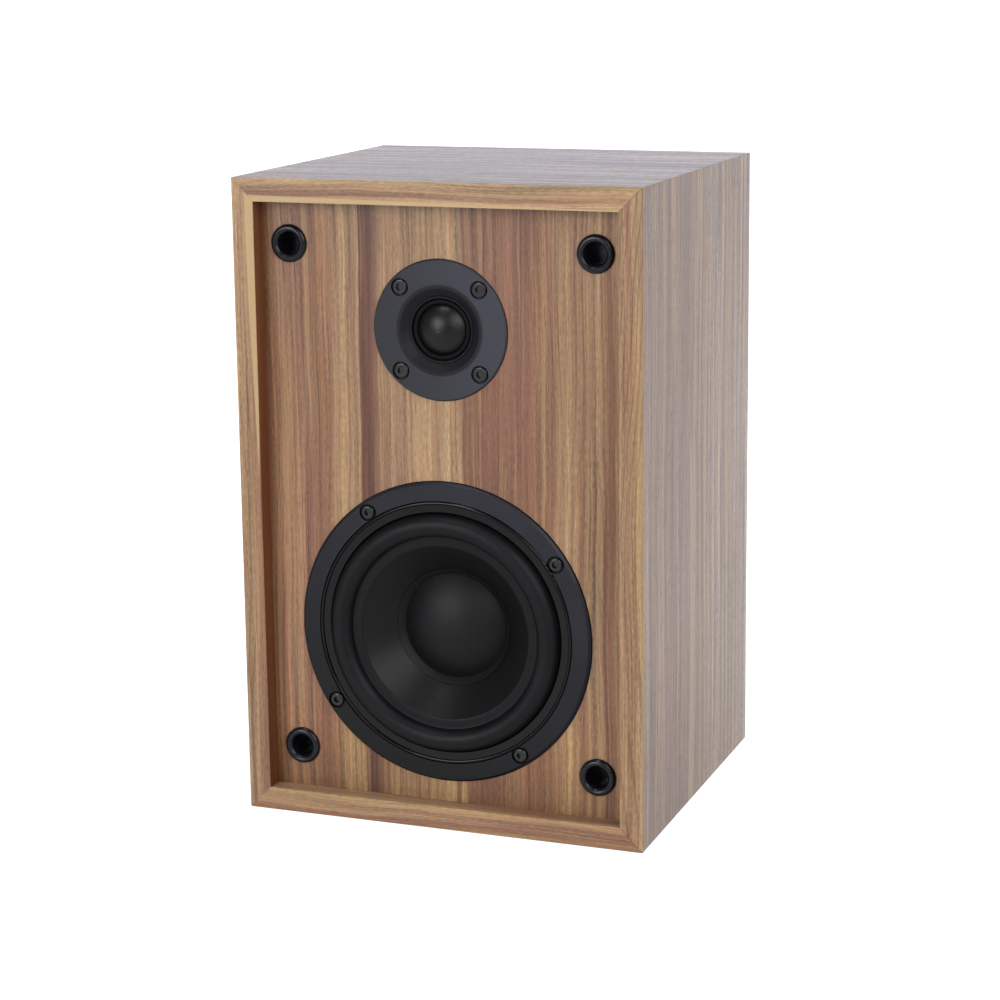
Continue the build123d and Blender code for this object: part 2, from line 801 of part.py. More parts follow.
cup_seal_thickness = 0.8
cup_flange_y = back_outer_y - terminal_rebate + cup_seal_thickness
cup_flange_thickness = 2.0
cup_flange_back_y = cup_flange_y + cup_flange_thickness
cup_floor_thickness = 2.5
with BuildPart() as terminal_cup:
    with BuildSketch(half_section(0, terminal_z)):
        with BuildLine():
            mouth = ThreePointArc(
                (32.0, cup_flange_back_y), (31.2, cup_flange_back_y - 0.3), (30.9, cup_flange_back_y - 1.1)
            )
            Polyline(
                mouth @ 1,
                (30.0, terminal_floor_y),
                (0, terminal_floor_y),
                (0, terminal_floor_y - cup_floor_thickness),
                (31.6, terminal_floor_y - cup_floor_thickness),
                (32.6, cup_flange_y),
                (terminal_flange_radius, cup_flange_y),
                (terminal_flange_radius, cup_flange_back_y - 0.8),
                (terminal_flange_radius - 0.8, cup_flange_back_y),
                mouth @ 0,
            )
        make_face()
    revolve(axis=depth_axis(terminal_z))
    with Locations(rear_plane(terminal_floor_y, terminal_z)):
        with GridLocations(2 * post_x, 0, 2, 1):
            Hole(post_radius + fit_gap, depth=cup_floor_thickness)
    with Locations(rear_plane(cup_flange_back_y, terminal_z)):
        with PolarLocations(terminal_screw_radius, 4, start_angle=terminal_screw_angle):
            Hole(terminal_clearance_radius, depth=cup_flange_thickness)
finish(terminal_cup.part, "terminal_cup")

with BuildPart() as terminal_cup_seal:
    with BuildSketch(rear_plane(cup_flange_y, terminal_z)):
        Circle(terminal_flange_radius - 0.2)
        Circle(terminal_hole_radius + 0.2, mode=Mode.SUBTRACT)
        with PolarLocations(terminal_screw_radius, 4, start_angle=terminal_screw_angle):
            Circle(terminal_clearance_radius, mode=Mode.SUBTRACT)
    extrude(amount=-cup_seal_thickness)
finish(terminal_cup_seal.part, "terminal_cup_seal")

terminal_head_radius = 2.8
terminal_head_height = 1.7
terminal_screw_length = 10.0
terminal_screws = socket_screws(
    rear_plane(cup_flange_back_y + terminal_head_height, terminal_z), terminal_screw_radius,
    terminal_screw_angle, terminal_head_radius, terminal_head_height, terminal_screw_length,
)
finish(terminal_screws.part, "terminal_screws")

# Binding posts: a threaded brass stem with a 4 mm socket in its end, a clamp washer and a knob.
collar_y = terminal_floor_y + 2.0
post_end_y = 78.5
post_inner_y = 42.0
socket_bottom_y = 59.0
washer_y = collar_y + 0.1
washer_thickness = 1.4
knob_y = washer_y + washer_thickness + 0.1
knob_end_y = 79.0
knob_radius = 7.4
knob_bore_radius = post_radius + 0.06
flute_count = 12
flute_radius = 1.0
flute_length = 13.0
collar_radius = 5.5
washer_radius = 6.4
wire_hole_radius = 0.9

for colour, x in {"black": -post_x, "red": post_x}.items():
    with BuildPart() as post:
        with BuildSketch(half_section(0, terminal_z, x)):
            with BuildLine():
                Polyline(
                    (0, post_inner_y),
                    (post_radius, post_inner_y),
                    (post_radius, terminal_floor_y),
                    (collar_radius, terminal_floor_y),
                    (collar_radius, collar_y),
                    (post_radius, collar_y),
                    (post_radius, post_end_y - 0.3),
                    (post_radius - 0.3, post_end_y),
                    (post_bore_radius, post_end_y),
                    (post_bore_radius, socket_bottom_y),
                    (0, socket_bottom_y),
                    close=True,
                )
            make_face()
        revolve(axis=depth_axis(terminal_z, x))
        with BuildSketch(Plane.XY.offset(terminal_z)):
            with Locations((x, collar_y + 1.0)):
                Circle(wire_hole_radius)
        extrude(amount=post_radius + 1, both=True, mode=Mode.SUBTRACT)
    finish(post.part, f"{colour}_post")

    washer = ring(
        rear_plane(washer_y + washer_thickness, terminal_z, x),
        washer_radius, knob_bore_radius, washer_thickness, 0.3,
    )
    finish(washer.part, f"{colour}_clamp_washer")

    with BuildPart() as knob:
        with BuildSketch(rear_plane(knob_end_y, terminal_z, x)):
            Circle(knob_radius)
            Circle(knob_bore_radius, mode=Mode.SUBTRACT)
        extrude(amount=-(knob_end_y - knob_y))
        rims = knob.edges().filter_by(GeomType.CIRCLE)
        chamfer(rims.filter_by(lambda e: abs(e.radius - knob_radius) < 0.01), 0.8)
        with BuildSketch(rear_plane(knob_end_y, terminal_z, x)):
            with PolarLocations(knob_radius + 0.4, flute_count):
                Circle(flute_radius)
        extrude(amount=-flute_length, mode=Mode.SUBTRACT)
    finish(knob.part, f"{colour}_knob")

lug_thickness = 0.8
lug_y = terminal_floor_y - cup_floor_thickness
with BuildPart() as solder_lugs:
    with BuildSketch(rear_plane(lug_y, terminal_z)):
        with GridLocations(2 * post_x, 0, 2, 1):
            Circle(4.8)
    extrude(amount=-lug_thickness)
    with BuildSketch(rear_plane(lug_y, terminal_z - 9.0)):
        with GridLocations(2 * post_x, 0, 2, 1):
            Rectangle(3.6, 10.0)
    extrude(amount=-lug_thickness)
    with BuildSketch(rear_plane(lug_y, terminal_z)):
        with GridLocations(2 * post_x, 0, 2, 1):
            Circle(post_radius + fit_gap)
    extrude(amount=-lug_thickness, mode=Mode.SUBTRACT)
finish(solder_lugs.part, "solder_lugs")

nut_thickness = 4.0
with BuildPart() as post_nuts:
    with BuildSketch(rear_plane(lug_y - lug_thickness, terminal_z)):
        with GridLocations(2 * post_x, 0, 2, 1):
            RegularPolygon(5.2, 6)
            Circle(post_radius + fit_gap, mode=Mode.SUBTRACT)
    extrude(amount=-nut_thickness)
finish(post_nuts.part, "post_nuts")

# ---------------------------------------------------------------------------------------------------
# Crossover on the cabinet floor
# ---------------------------------------------------------------------------------------------------

board_y = 18.0
board_length = 96.0
board_width = 44.0
board_z = panel_thickness + 6.0
board_thickness = 1.6
board_top = board_z + board_thickness
board_hole_x = board_length - 10.0
board_hole_y = board_width - 10.0
board_hole_radius = 1.6
standoff_radius = 3.2
board_screw_radius = 1.5
board_head_radius = 2.8
board_head_height = 1.8
board_screw_length = 6.5

with BuildPart() as crossover_board:
    with BuildSketch(Plane.XY.offset(board_z)):
        with Locations((0, board_y)):
            RectangleRounded(board_length, board_width, 3.0)
            with GridLocations(board_hole_x, board_hole_y, 2, 2):
                Circle(board_hole_radius, mode=Mode.SUBTRACT)
    extrude(amount=board_thickness)
finish(crossover_board.part, "crossover_board")

with BuildPart() as crossover_standoffs:
    with BuildSketch(Plane.XY.offset(panel_thickness)):
        with Locations((0, board_y)):
            with GridLocations(board_hole_x, board_hole_y, 2, 2):
                Circle(standoff_radius)
                Circle(board_screw_radius + fit_gap, mode=Mode.SUBTRACT)
    extrude(amount=board_z - panel_thickness)
finish(crossover_standoffs.part, "crossover_standoffs")

with BuildPart() as crossover_screws:
    with BuildSketch(Plane.XY.offset(board_top)):
        with Locations((0, board_y)):
            with GridLocations(board_hole_x, board_hole_y, 2, 2):
                Circle(board_head_radius)
    extrude(amount=board_head_height)
    with BuildSketch(Plane.XY.offset(board_top)):
        with Locations((0, board_y)):
            with GridLocations(board_hole_x, board_hole_y, 2, 2):
                Circle(board_screw_radius)
    extrude(amount=-board_screw_length)
finish(crossover_screws.part, "crossover_screws")

inductor_x = -24.0
bobbin_height = 15.0
bobbin_flange = 1.2
bobbin_radius = 16.0
bobbin_core_radius = 7.0
bobbin_hole_radius = 4.0
inductor_plane = Plane(origin=(inductor_x, board_y, board_top), x_dir=(1, 0, 0), z_dir=(0, -1, 0))
inductor_axis = Axis((inductor_x, board_y, 0), (0, 0, 1))
with BuildPart() as inductor_bobbin:
    with BuildSketch(inductor_plane):
        with BuildLine():
            Polyline(
                (bobbin_hole_radius, 0),
                (bobbin_radius, 0),
                (bobbin_radius, bobbin_flange),
                (bobbin_core_radius, bobbin_flange),
                (bobbin_core_radius, bobbin_height - bobbin_flange),
                (bobbin_radius, bobbin_height - bobbin_flange),
                (bobbin_radius, bobbin_height),
                (bobbin_hole_radius, bobbin_height),
                close=True,
            )
        make_face()
    revolve(axis=inductor_axis)
finish(inductor_bobbin.part, "inductor_bobbin")

with BuildPart() as inductor_winding:
    with BuildSketch(inductor_plane):
        with BuildLine():
            Polyline(
                (bobbin_core_radius, bobbin_flange),
                (bobbin_radius - 1.0, bobbin_flange),
                (bobbin_radius - 1.0, bobbin_height - bobbin_flange),
                (bobbin_core_radius, bobbin_height - bobbin_flange),
                close=True,
            )
        make_face()
    revolve(axis=inductor_axis)
finish(inductor_winding.part, "inductor_winding")

component_x = 20.0
capacitor_radius = 6.5
capacitor_length = 30.0
capacitor_y = board_y + 10.0
with BuildPart() as capacitor:
    with BuildSketch(Plane.YZ.offset(component_x - capacitor_length / 2)):
        with Locations((capacitor_y, board_top + capacitor_radius)):
            Circle(capacitor_radius)
    extrude(amount=capacitor_length)
    fillet(capacitor.edges().filter_by(GeomType.CIRCLE), 0.8)
finish(capacitor.part, "capacitor")

resistor_y = board_y - 8.0
resistor_length = 36.0
resistor_width = 9.5
resistor_height = 9.0
with BuildPart() as resistor:
    with BuildSketch(Plane.XY.offset(board_top)):
        with Locations((component_x, resistor_y)):
            Rectangle(resistor_length, resistor_width)
    extrude(amount=resistor_height)
    fillet(resistor.edges().filter_by(Axis.Z), 0.8)
finish(resistor.part, "resistor")

# ---------------------------------------------------------------------------------------------------
# Internal wires and damping
# ---------------------------------------------------------------------------------------------------

wire_radius = 0.9
pad_z = board_top + wire_radius + fit_gap
input_wire_y = lug_y - lug_thickness - wire_radius - fit_gap
input_routes = [
    [
        (side * post_x, input_wire_y, terminal_z - 9.5),
        (side * post_x, input_wire_y, terminal_z - 18.0),
        (side * (post_x + 1.0), input_wire_y - 1.5, terminal_z - 27.0),
        (side * (post_x + 2.0), input_wire_y - 4.5, terminal_z - 36.0),
        (side * (post_x + 2.0), input_wire_y - 7.5, pad_z),
        (side * (post_x + 2.0), input_wire_y - 12.5, pad_z),
    ]
    for side in (-1, 1)
]
input_wires = wires(input_routes, wire_radius)
finish(input_wires.part, "input_wires")

woofer_wire_y = strip_y + strip_thickness + tag_thickness + wire_radius + fit_gap
woofer_routes = [
    [
        (side * tag_x, woofer_wire_y, woofer_tag_z + 3.5),
        (side * tag_x, woofer_wire_y, woofer_tag_z - 3.5),
        (side * (tag_x - 1.0), woofer_wire_y + 5.0, woofer_tag_z - 10.5),
        (side * (tag_x - 2.0), woofer_wire_y + 14.0, woofer_tag_z - 13.5),
        (side * (tag_x - 2.5), woofer_wire_y + 27.0, woofer_tag_z - 13.0),
        (side * (tag_x - 2.5), woofer_wire_y + 41.0, pad_z),
        (side * (tag_x - 2.5), woofer_wire_y + 48.0, pad_z),
    ]
    for side in (-1, 1)
]
woofer_wires = wires(woofer_routes, wire_radius)
finish(woofer_wires.part, "woofer_wires")

tweeter_wire_y = tweeter_strip_y + strip_thickness + tag_thickness + wire_radius + fit_gap
tweeter_routes = [
    [
        (lead_x, tweeter_wire_y, tweeter_tag_z + 4.0),
        (lead_x, tweeter_wire_y, tweeter_tag_z - 8.0),
        (lead_x - 10.0, tweeter_wire_y + 3.0 + step, tweeter_tag_z - 22.0),
        (wall_x + 14.0, tweeter_wire_y + 9.0 + step, tweeter_tag_z - 37.0),
        (wall_x + 2.0, tweeter_wire_y + 17.0 + step, tweeter_tag_z - 58.0),
        (wall_x, tweeter_wire_y + 27.0 + step, tweeter_tag_z - 90.0),
        (wall_x, tweeter_wire_y + 38.0 + step, tweeter_tag_z - 128.0),
        (wall_x + 1.0, tweeter_wire_y + 46.0 + step, tweeter_tag_z - 160.0),
        (wall_x + 7.0, tweeter_wire_y + 51.0 + step, tweeter_tag_z - 182.0),
        (wall_x + 17.0, tweeter_wire_y + 54.0 + step, pad_z),
        (wall_x + 29.0, tweeter_wire_y + 55.0 + step, pad_z),
    ]
    for lead_x, wall_x, step in ((-tag_x, -75.0, 0.0), (tag_x, -71.0, 4.0))
]
tweeter_wires = wires(tweeter_routes, wire_radius)
finish(tweeter_wires.part, "tweeter_wires")

pad_thickness = 13.5
pad_length = 104.0
pad_height = 196.0
pad_middle = (8.0, 150.0)
with BuildPart() as wadding_pad:
    with BuildSketch(Plane.YZ.offset(inner_x - pad_thickness - 0.5)):
        with Locations(pad_middle):
            RectangleRounded(pad_length, pad_height, 6.0)
    extrude(amount=pad_thickness)
    fillet(wadding_pad.faces().sort_by(Axis.X)[0].edges(), 4.0)
finish(wadding_pad.part, "wadding_pad")
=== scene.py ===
import json
from math import asin, cos, pi, radians, sin

import bmesh
import bpy
from mathutils import Matrix, Vector, noise
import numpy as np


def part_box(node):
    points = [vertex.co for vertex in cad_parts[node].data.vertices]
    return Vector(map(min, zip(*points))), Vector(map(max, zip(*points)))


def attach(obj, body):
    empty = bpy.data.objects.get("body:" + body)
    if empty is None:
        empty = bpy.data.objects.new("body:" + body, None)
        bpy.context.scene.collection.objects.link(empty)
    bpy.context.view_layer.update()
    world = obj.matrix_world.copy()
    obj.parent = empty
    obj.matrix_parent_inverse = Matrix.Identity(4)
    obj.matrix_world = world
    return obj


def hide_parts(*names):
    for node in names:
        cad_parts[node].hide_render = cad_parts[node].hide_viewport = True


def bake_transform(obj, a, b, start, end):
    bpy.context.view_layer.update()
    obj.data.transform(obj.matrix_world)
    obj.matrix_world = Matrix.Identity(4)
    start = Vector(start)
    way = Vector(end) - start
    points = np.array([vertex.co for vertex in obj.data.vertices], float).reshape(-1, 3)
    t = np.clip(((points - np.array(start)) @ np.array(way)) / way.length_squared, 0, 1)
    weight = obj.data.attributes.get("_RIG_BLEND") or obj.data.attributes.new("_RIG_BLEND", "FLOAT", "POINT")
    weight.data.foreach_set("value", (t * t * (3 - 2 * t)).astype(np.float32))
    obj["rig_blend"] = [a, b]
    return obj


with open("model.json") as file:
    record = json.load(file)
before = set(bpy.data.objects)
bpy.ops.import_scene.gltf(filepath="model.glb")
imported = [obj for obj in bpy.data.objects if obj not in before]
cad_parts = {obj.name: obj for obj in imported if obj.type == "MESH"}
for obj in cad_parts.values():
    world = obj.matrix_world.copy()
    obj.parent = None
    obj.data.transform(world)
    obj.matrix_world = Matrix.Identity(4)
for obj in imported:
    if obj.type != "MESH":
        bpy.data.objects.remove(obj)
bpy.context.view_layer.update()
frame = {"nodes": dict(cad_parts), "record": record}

# The looks of a two-way bookshelf speaker. Sizes are in millimetres until a mesh or a place is written,
# and MM turns them into the metres of the frame. The front looks along -Y and +Z is up.

MM = 0.001
nodes = frame["nodes"]
record = frame["record"]


def node_box(name):
    """A CAD node's lowest and highest corners, in millimetres."""
    low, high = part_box(name)
    return low / MM, high / MM


def middle(name):
    """The middle of a CAD node's box, in millimetres."""
    low, high = node_box(name)
    return (low + high) / 2


# ---------------------------------------------------------------------------------------------------
# Places, read from the frame
# ---------------------------------------------------------------------------------------------------

half_width = node_box("cabinet_right")[1].x
height = node_box("cabinet_top")[1].z
front_y = node_box("cabinet_right")[0].y
back_y = node_box("cabinet_right")[1].y
baffle_low, baffle_high = node_box("front_baffle")
baffle_y = baffle_low.y
inner_x = baffle_high.x
panel = half_width - inner_x
woofer_y = node_box("woofer_basket")[0].y
woofer_z = middle("woofer_basket").z
tweeter_y = node_box("tweeter_plate")[0].y
tweeter_z = middle("tweeter_plate").z


# ---------------------------------------------------------------------------------------------------
# Node graphs: arithmetic on sockets, written as plain sums
# ---------------------------------------------------------------------------------------------------


class Signal:
    """A number or a colour that runs through a material's nodes."""

    def __init__(self, graph, socket):
        self.graph = graph
        self.socket = socket

    def __add__(self, other):
        return self.graph.math("ADD", self, other)

    def __radd__(self, other):
        return self.graph.math("ADD", other, self)

    def __sub__(self, other):
        return self.graph.math("SUBTRACT", self, other)

    def __rsub__(self, other):
        return self.graph.math("SUBTRACT", other, self)

    def __mul__(self, other):
        return self.graph.math("MULTIPLY", self, other)

    def __rmul__(self, other):
        return self.graph.math("MULTIPLY", other, self)

    def __abs__(self):
        return self.graph.math("ABSOLUTE", self)


class Graph:
    """One procedural material, built node by node."""

    def __init__(self, name):
        self.material = bpy.data.materials.new(name)
        self.material.use_nodes = True
        self.tree = self.material.node_tree
        self.shader = self.tree.nodes["Principled BSDF"]
        place = self.add("ShaderNodeTexCoord").outputs["Object"]
        split = self.add("ShaderNodeSeparateXYZ", {0: place})
        self.x, self.y, self.z = (
            self.math("MULTIPLY", split.outputs[axis], 1 / MM) for axis in range(3)
        )

    def add(self, kind, inputs=None, **settings):
        node = self.tree.nodes.new(kind)
        for key, value in settings.items():
            setattr(node, key, value)
        for key, value in (inputs or {}).items():
            self.feed(node.inputs[key], value)
        return node

    def feed(self, socket, value):
        """Link a signal or set a constant."""
        if isinstance(value, Signal):
            value = value.socket
        if isinstance(value, bpy.types.NodeSocket):
            self.tree.links.new(value, socket)
        else:
            socket.default_value = value

    def math(self, operation, *values):
        node = self.add("ShaderNodeMath", dict(enumerate(values)), operation=operation)
        return Signal(self, node.outputs[0])

    def step(self, signal, low, high):
        """0 below low, 1 above high, and smooth between them."""
        node = self.add(
            "ShaderNodeMapRange", {0: signal, 1: low, 2: high}, interpolation_type="SMOOTHSTEP"
        )
        return Signal(self, node.outputs[0])

    def strip(self, signal, centre, half, soft):
        """1 within a strip, fading out past its edges."""
        return 1 - self.step(abs(signal - centre), half, half + soft)

    def point(self, x, y, z=0.0):
        return Signal(self, self.add("ShaderNodeCombineXYZ", {0: x, 1: y, 2: z}).outputs[0])

    def noise(self, x, y, z=0.0, detail=2.0, roughness=0.5):
        """Smooth noise around 0.5."""
        node = self.add(
            "ShaderNodeTexNoise",
            {"Vector": self.point(x, y, z), "Scale": 1.0, "Detail": detail, "Roughness": roughness},
        )
        return Signal(self, node.outputs["Fac"])

    def ramp(self, signal, stops):
        """A colour ramp from (place, colour) stops."""
        node = self.add("ShaderNodeValToRGB", {0: signal})
        elements = node.color_ramp.elements
        while len(elements) < len(stops):
            elements.new(0.5)
        for element, (place, colour) in zip(elements, stops):
            element.position = place
            element.color = (*colour, 1.0)
        return Signal(self, node.outputs[0])

    def mix(self, amount, first, second, blend="MIX"):
        node = self.add("ShaderNodeMix", data_type="RGBA", blend_type=blend)
        for index, value in ((0, amount), (6, first), (7, second)):
            self.feed(node.inputs[index], (*value, 1.0) if isinstance(value, tuple) else value)
        return Signal(self, node.outputs[2])

    def scale(self, colour, factor):
        """A colour made brighter or darker by a number."""
        node = self.add("ShaderNodeVectorMath", {0: colour}, operation="SCALE")
        self.feed(node.inputs["Scale"], factor)
        return Signal(self, node.outputs[0])

    def bump(self, height_signal, depth, strength=1.0):
        """A bump whose height signal of 1 stands depth millimetres high."""
        node = self.add(
            "ShaderNodeBump", {"Height": height_signal, "Distance": depth * MM, "Strength": strength}
        )
        return node.outputs["Normal"]

    def finish(self, colour, roughness, normal=None, **sockets):
        """Wire up the shader. The rest are constants on its own sockets, with _ for a space."""
        self.feed(self.shader.inputs["Base Color"], (*colour, 1.0) if isinstance(colour, tuple) else colour)
        self.feed(self.shader.inputs["Roughness"], roughness)
        if normal is not None:
            self.feed(self.shader.inputs["Normal"], normal)
        for key, value in sockets.items():
            self.feed(self.shader.inputs[key.replace("_", " ")], value)
        return self.material


def linear(*channels):
    """A colour as the eye sees it on a screen, 0 to 255, as linear light."""
    return tuple(
        (c / 255 / 12.92) if c / 255 <= 0.04045 else ((c / 255 + 0.055) / 1.055) ** 2.4 for c in channels
    )


# ---------------------------------------------------------------------------------------------------
# Wood veneer
# ---------------------------------------------------------------------------------------------------

# Light falling on each face of the cabinet, and the bluish sheen it picks up from the backdrop.
front_light, front_sheen = 1.85, (0.035, 0.035, 0.035)
side_light, side_sheen = 1.55, (0.140, 0.158, 0.182)
top_light, top_sheen = 1.15, (0.225, 0.255, 0.295)


def tone(*channels, light=front_light, sheen=front_sheen):
    """The veneer's own colour where it looks like this on screen, under this scene's light."""
    return tuple(max(0.003, (c - s) / light) for c, s in zip(linear(*channels), sheen))


# A small palette of walnut, as it looks on screen: on the front, then on the sides, then on the top. The side
# and top tones are painted sheen as well as wood: they keep part of the backdrop's grazing sheen, so they
# come out greyer and paler than the front's.
walnut = {
    "straw": (185, 155, 120), "honey": (175, 145, 110), "tan": (166, 134, 105), "fawn": (154, 119, 94),
    "brown": (145, 108, 85), "russet": (135, 100, 84), "umber": (106, 78, 68),
    "dull": (155, 142, 140), "grey": (163, 150, 144), "pale": (172, 160, 155), "light": (180, 172, 173),
    "mist": (172, 166, 167), "silver": (178, 172, 173), "bright": (184, 178, 180),
}
side_seen = {"light": side_light, "sheen": side_sheen}
top_seen = {"light": top_light, "sheen": top_sheen}

# On the four panels the grain runs over the front edge's face first, from the inside out, and then from
# front to back over the outer face.
joint = 0.2
turn = panel + joint
run = panel + back_y - front_y + joint
baffle_half = baffle_high.x


def leaf(start, end, tones, **seen_in):
    """A leaf of veneer from one joint to the next, with named tones spaced evenly across its grain."""
    names = tones.split()
    first = start + joint
    gap = (end - joint - first) / (len(names) - 1)
    return [(first + k * gap, tone(*walnut[name], **seen_in)) for k, name in enumerate(names)]


def veneer(name, lines, bands, details=None, seed=0.0, outer=0.0):
    """Straight-grained veneer. lines(graph) gives the places across and along the grain.

    outer makes the grain stronger on the outer face, past the front edge.
    """
    g = Graph(name)
    across, along = lines(g)
    drift = g.noise(across * 0.012, along * 0.009, seed, 1.0) - 0.5
    tremble = g.noise(across * 0.11, along * 0.045, seed + 3.0, 2.0) - 0.5
    warped = across + drift * 5.0 + tremble * 1.1
    first, last = bands[0][0], bands[-1][0]
    span = last - first
    colour = g.ramp(
        (warped - first) * (1 / span), [((place - first) / span, own) for place, own in bands]
    )

    contrast = 1.0
    if outer:
        past_the_edge = g.step(across, panel, panel + 0.6) * (1 - g.step(g.y, back_y - 2.0, back_y))
        contrast = 1.0 + past_the_edge * outer
    broad = g.noise(warped * 0.34, along * 0.005, seed + 7.0, 3.0, 0.6)
    narrow = g.noise(warped * 1.0, along * 0.006, seed + 11.0, 2.0, 0.6)
    fibre = g.noise(warped * 2.1, along * 0.03, seed + 17.0, 2.0, 0.6)
    fleck = g.noise(warped * 1.7, along * 0.35, seed + 19.0, 1.0)
    streaks = (broad - 0.5) * 1.9 + (narrow - 0.5) * 1.2 + (fibre - 0.5) * 0.9 + (fleck - 0.5) * 1.0
    colour = g.scale(colour, g.math("MAXIMUM", 0.25, 1.0 + streaks * contrast))

    # Growth rings: thin dark lines that follow a slow, stretched field.
    field = warped * 0.31 + g.noise(warped * 0.03, along * 0.0045, seed + 23.0, 1.0) * 7.0
    ring = g.step(g.math("SINE", field * (2 * pi)), 0.55, 1.0)
    ring = ring * g.step(g.noise(warped * 0.09, along * 0.01, seed + 29.0), 0.42, 0.66)
    colour = g.mix(ring * 0.5, colour, tone(112, 78, 58))

    # Redder and greener patches, a few centimetres long.
    strips = g.noise(warped * 0.24, along * 0.0025, seed + 43.0, 1.0)
    colour = g.mix(g.step(strips, 0.53, 0.57) * 0.30, colour, tone(132, 94, 84))
    colour = g.mix(g.step(strips, 0.42, 0.39) * 0.30, colour, tone(192, 160, 116))
    tint = g.noise(warped * 0.48, along * 0.007, seed + 41.0, 2.0)
    colour = g.mix(g.step(tint, 0.52, 0.74) * 0.45, colour, tone(136, 98, 90))
    colour = g.mix(g.step(tint, 0.48, 0.26) * 0.35, colour, tone(186, 154, 112))
    hue = g.noise(warped * 0.16, along * 0.007, seed + 31.0, 2.0)
    colour = g.mix(g.step(hue, 0.55, 0.8) * 0.30, colour, tone(150, 98, 84))
    colour = g.mix(g.step(hue, 0.45, 0.2) * 0.22, colour, tone(150, 128, 84))

    # Open pores: short dark dashes along the grain.
    pore_field = g.noise(warped * 1.8, along * 0.07, seed + 37.0, 1.0)
    pores = g.step(pore_field, 0.60, 0.70)
    pores = pores * (0.45 + g.step(broad, 0.40, 0.6) * 0.55)
    colour = g.mix(pores * 0.33, colour, tone(92, 58, 44))

    if details:
        colour = details(g, colour, across, along, warped)

    relief = fibre * 0.35 + narrow * 0.4 - pores * 0.8
    roughness = 0.30 + narrow * 0.10 + pores * 0.15
    return g.finish(colour, roughness, g.bump(relief, 0.035), Specular_IOR_Level=0.28)


def mitre(g, colour, across, along, centre, half):
    """The thin dark line where two panels' front edges meet at 45 degrees, fainter at the left."""
    gap = abs(across - (abs(along - centre) - half))
    line = (1 - g.step(gap, 0.05, 0.28)) * g.strip(across, panel / 2, panel / 2, 0.3)
    return g.mix(line * (0.25 + g.step(g.x, -10.0, 10.0) * 0.5), colour, tone(98, 68, 50))


def bare_board(g, colour, inside):
    """Inside the cabinet the panels show plain particle board, without veneer."""
    chips = g.noise(g.x * 0.5, g.y * 0.5, g.z * 0.5, 3.0, 0.7)
    board = g.ramp(chips, [(0.3, (0.16, 0.11, 0.07)), (0.7, (0.34, 0.25, 0.17))])
    behind = g.step(g.y, baffle_y + 0.4, baffle_y + 0.8)
    return g.mix(inside * behind, colour, board)


def baffle_details(g, colour, across, along, warped):
    """Nested, pointed growth rings at the right; painted shade along the top under the top rail and along the
    bottom by the bottom rail; and a warmer bottom.
    """
    bend = g.noise(across * 0.03, along * 0.02, 41.0, 1.0)
    arch = abs(across - 66.0) * 0.30 + along * 0.021 + bend * 2.2
    rings = g.step(g.math("SINE", arch * (2 * pi)), 0.35, 1.0) * g.step(across, 52.0, 60.0)
    rings = rings * g.step(along, 20.0, 60.0) * (1 - g.step(along, 190.0, 235.0))
    colour = g.mix(rings * 0.22, colour, tone(122, 84, 62))
    # Painted shade: a little darker just under the top rail and more strongly along the bottom.
    shade = 1 - g.step(along, 215.0, 262.0) * 0.02 - (1 - g.step(along, 12.0, 40.0)) * 0.20
    colour = g.mix((1 - g.step(along, 15.0, 70.0)) * 0.8, colour, (1.0, 0.92, 0.72), "MULTIPLY")
    return g.scale(colour, shade)


def left_details(g, colour, across, along, warped):
    """A pale wedge on the upper part of the front edge, wider towards the top, and painted shade on the
    stile's inner wall.
    """
    wedge = g.step(along, 120.0, 262.0) * 3.4
    pale = g.step(wedge - abs(across - 0.9), 0.0, 0.6) * g.step(across, -0.4, 0.2)
    colour = g.mix(pale * 0.85, colour, tone(200, 169, 126))
    # Painted shade: the stile's inner wall, facing into the recess, is darkened to a deep brown.
    inner_wall_shade = g.step(g.x, -inner_x - 0.35, -inner_x - 0.15)
    colour = g.mix(inner_wall_shade * 0.85, colour, tone(118, 73, 46))
    lower = (1 - g.step(along, 40.0, 120.0)) * 0.10
    colour = g.scale(colour, 1 - lower)
    colour = mitre(g, colour, across, along, height / 2, height / 2 - panel)
    return bare_board(g, colour, g.step(g.x, -inner_x - 0.6, -inner_x - 0.2))


def right_details(g, colour, across, along, warped):
    """Slanting rings on the upper front edge, and a pale streak down the lower outer face."""
    slope = across * 0.42 - along * 0.035 + g.noise(across * 0.1, along * 0.02, 43.0, 1.0) * 1.5
    edge = g.step(g.math("SINE", slope * (2 * pi)), 0.4, 1.0) * g.step(along, 100.0, 200.0)
    colour = g.mix(edge * g.strip(across, 5.0, 5.0, 1.0) * 0.40, colour, tone(116, 80, 62))
    streak_width = 2.6 - along * 0.011
    streak = 1 - g.step(abs(warped - 80.0) - streak_width, 0.0, 0.9)
    pale = tone(181, 168, 152, light=side_light, sheen=side_sheen)
    colour = g.mix(streak * (1 - g.step(along, 150.0, 172.0)) * 0.8, colour, pale)
    colour = mitre(g, colour, across, along, height / 2, height / 2 - panel)
    return bare_board(g, colour, 1 - g.step(g.x, inner_x + 0.2, inner_x + 0.6))


def top_details(g, colour, across, along, warped):
    """A pale inner strip that thins to the right, and one small dark knot on the top."""
    reach = 3.0 - (along + inner_x) * 0.014
    pale = g.step(reach - across, 0.0, 0.6) * g.step(across, -0.4, 0.2)
    colour = g.mix(pale * 0.8, colour, tone(200, 170, 127))
    from_knot = abs(along - 60.0) * 0.45 + abs(across - 71.0)
    colour = g.mix((1 - g.step(from_knot, 0.9, 2.4)) * 0.75, colour, tone(88, 62, 52))
    colour = mitre(g, colour, across, along, 0.0, inner_x)
    return bare_board(g, colour, 1 - g.step(g.z, height - panel + 0.2, height - panel + 0.6))


def bottom_details(g, colour, across, along, warped):
    colour = mitre(g, colour, across, along, 0.0, inner_x)
    return bare_board(g, colour, g.step(g.z, panel - 0.6, panel - 0.2))


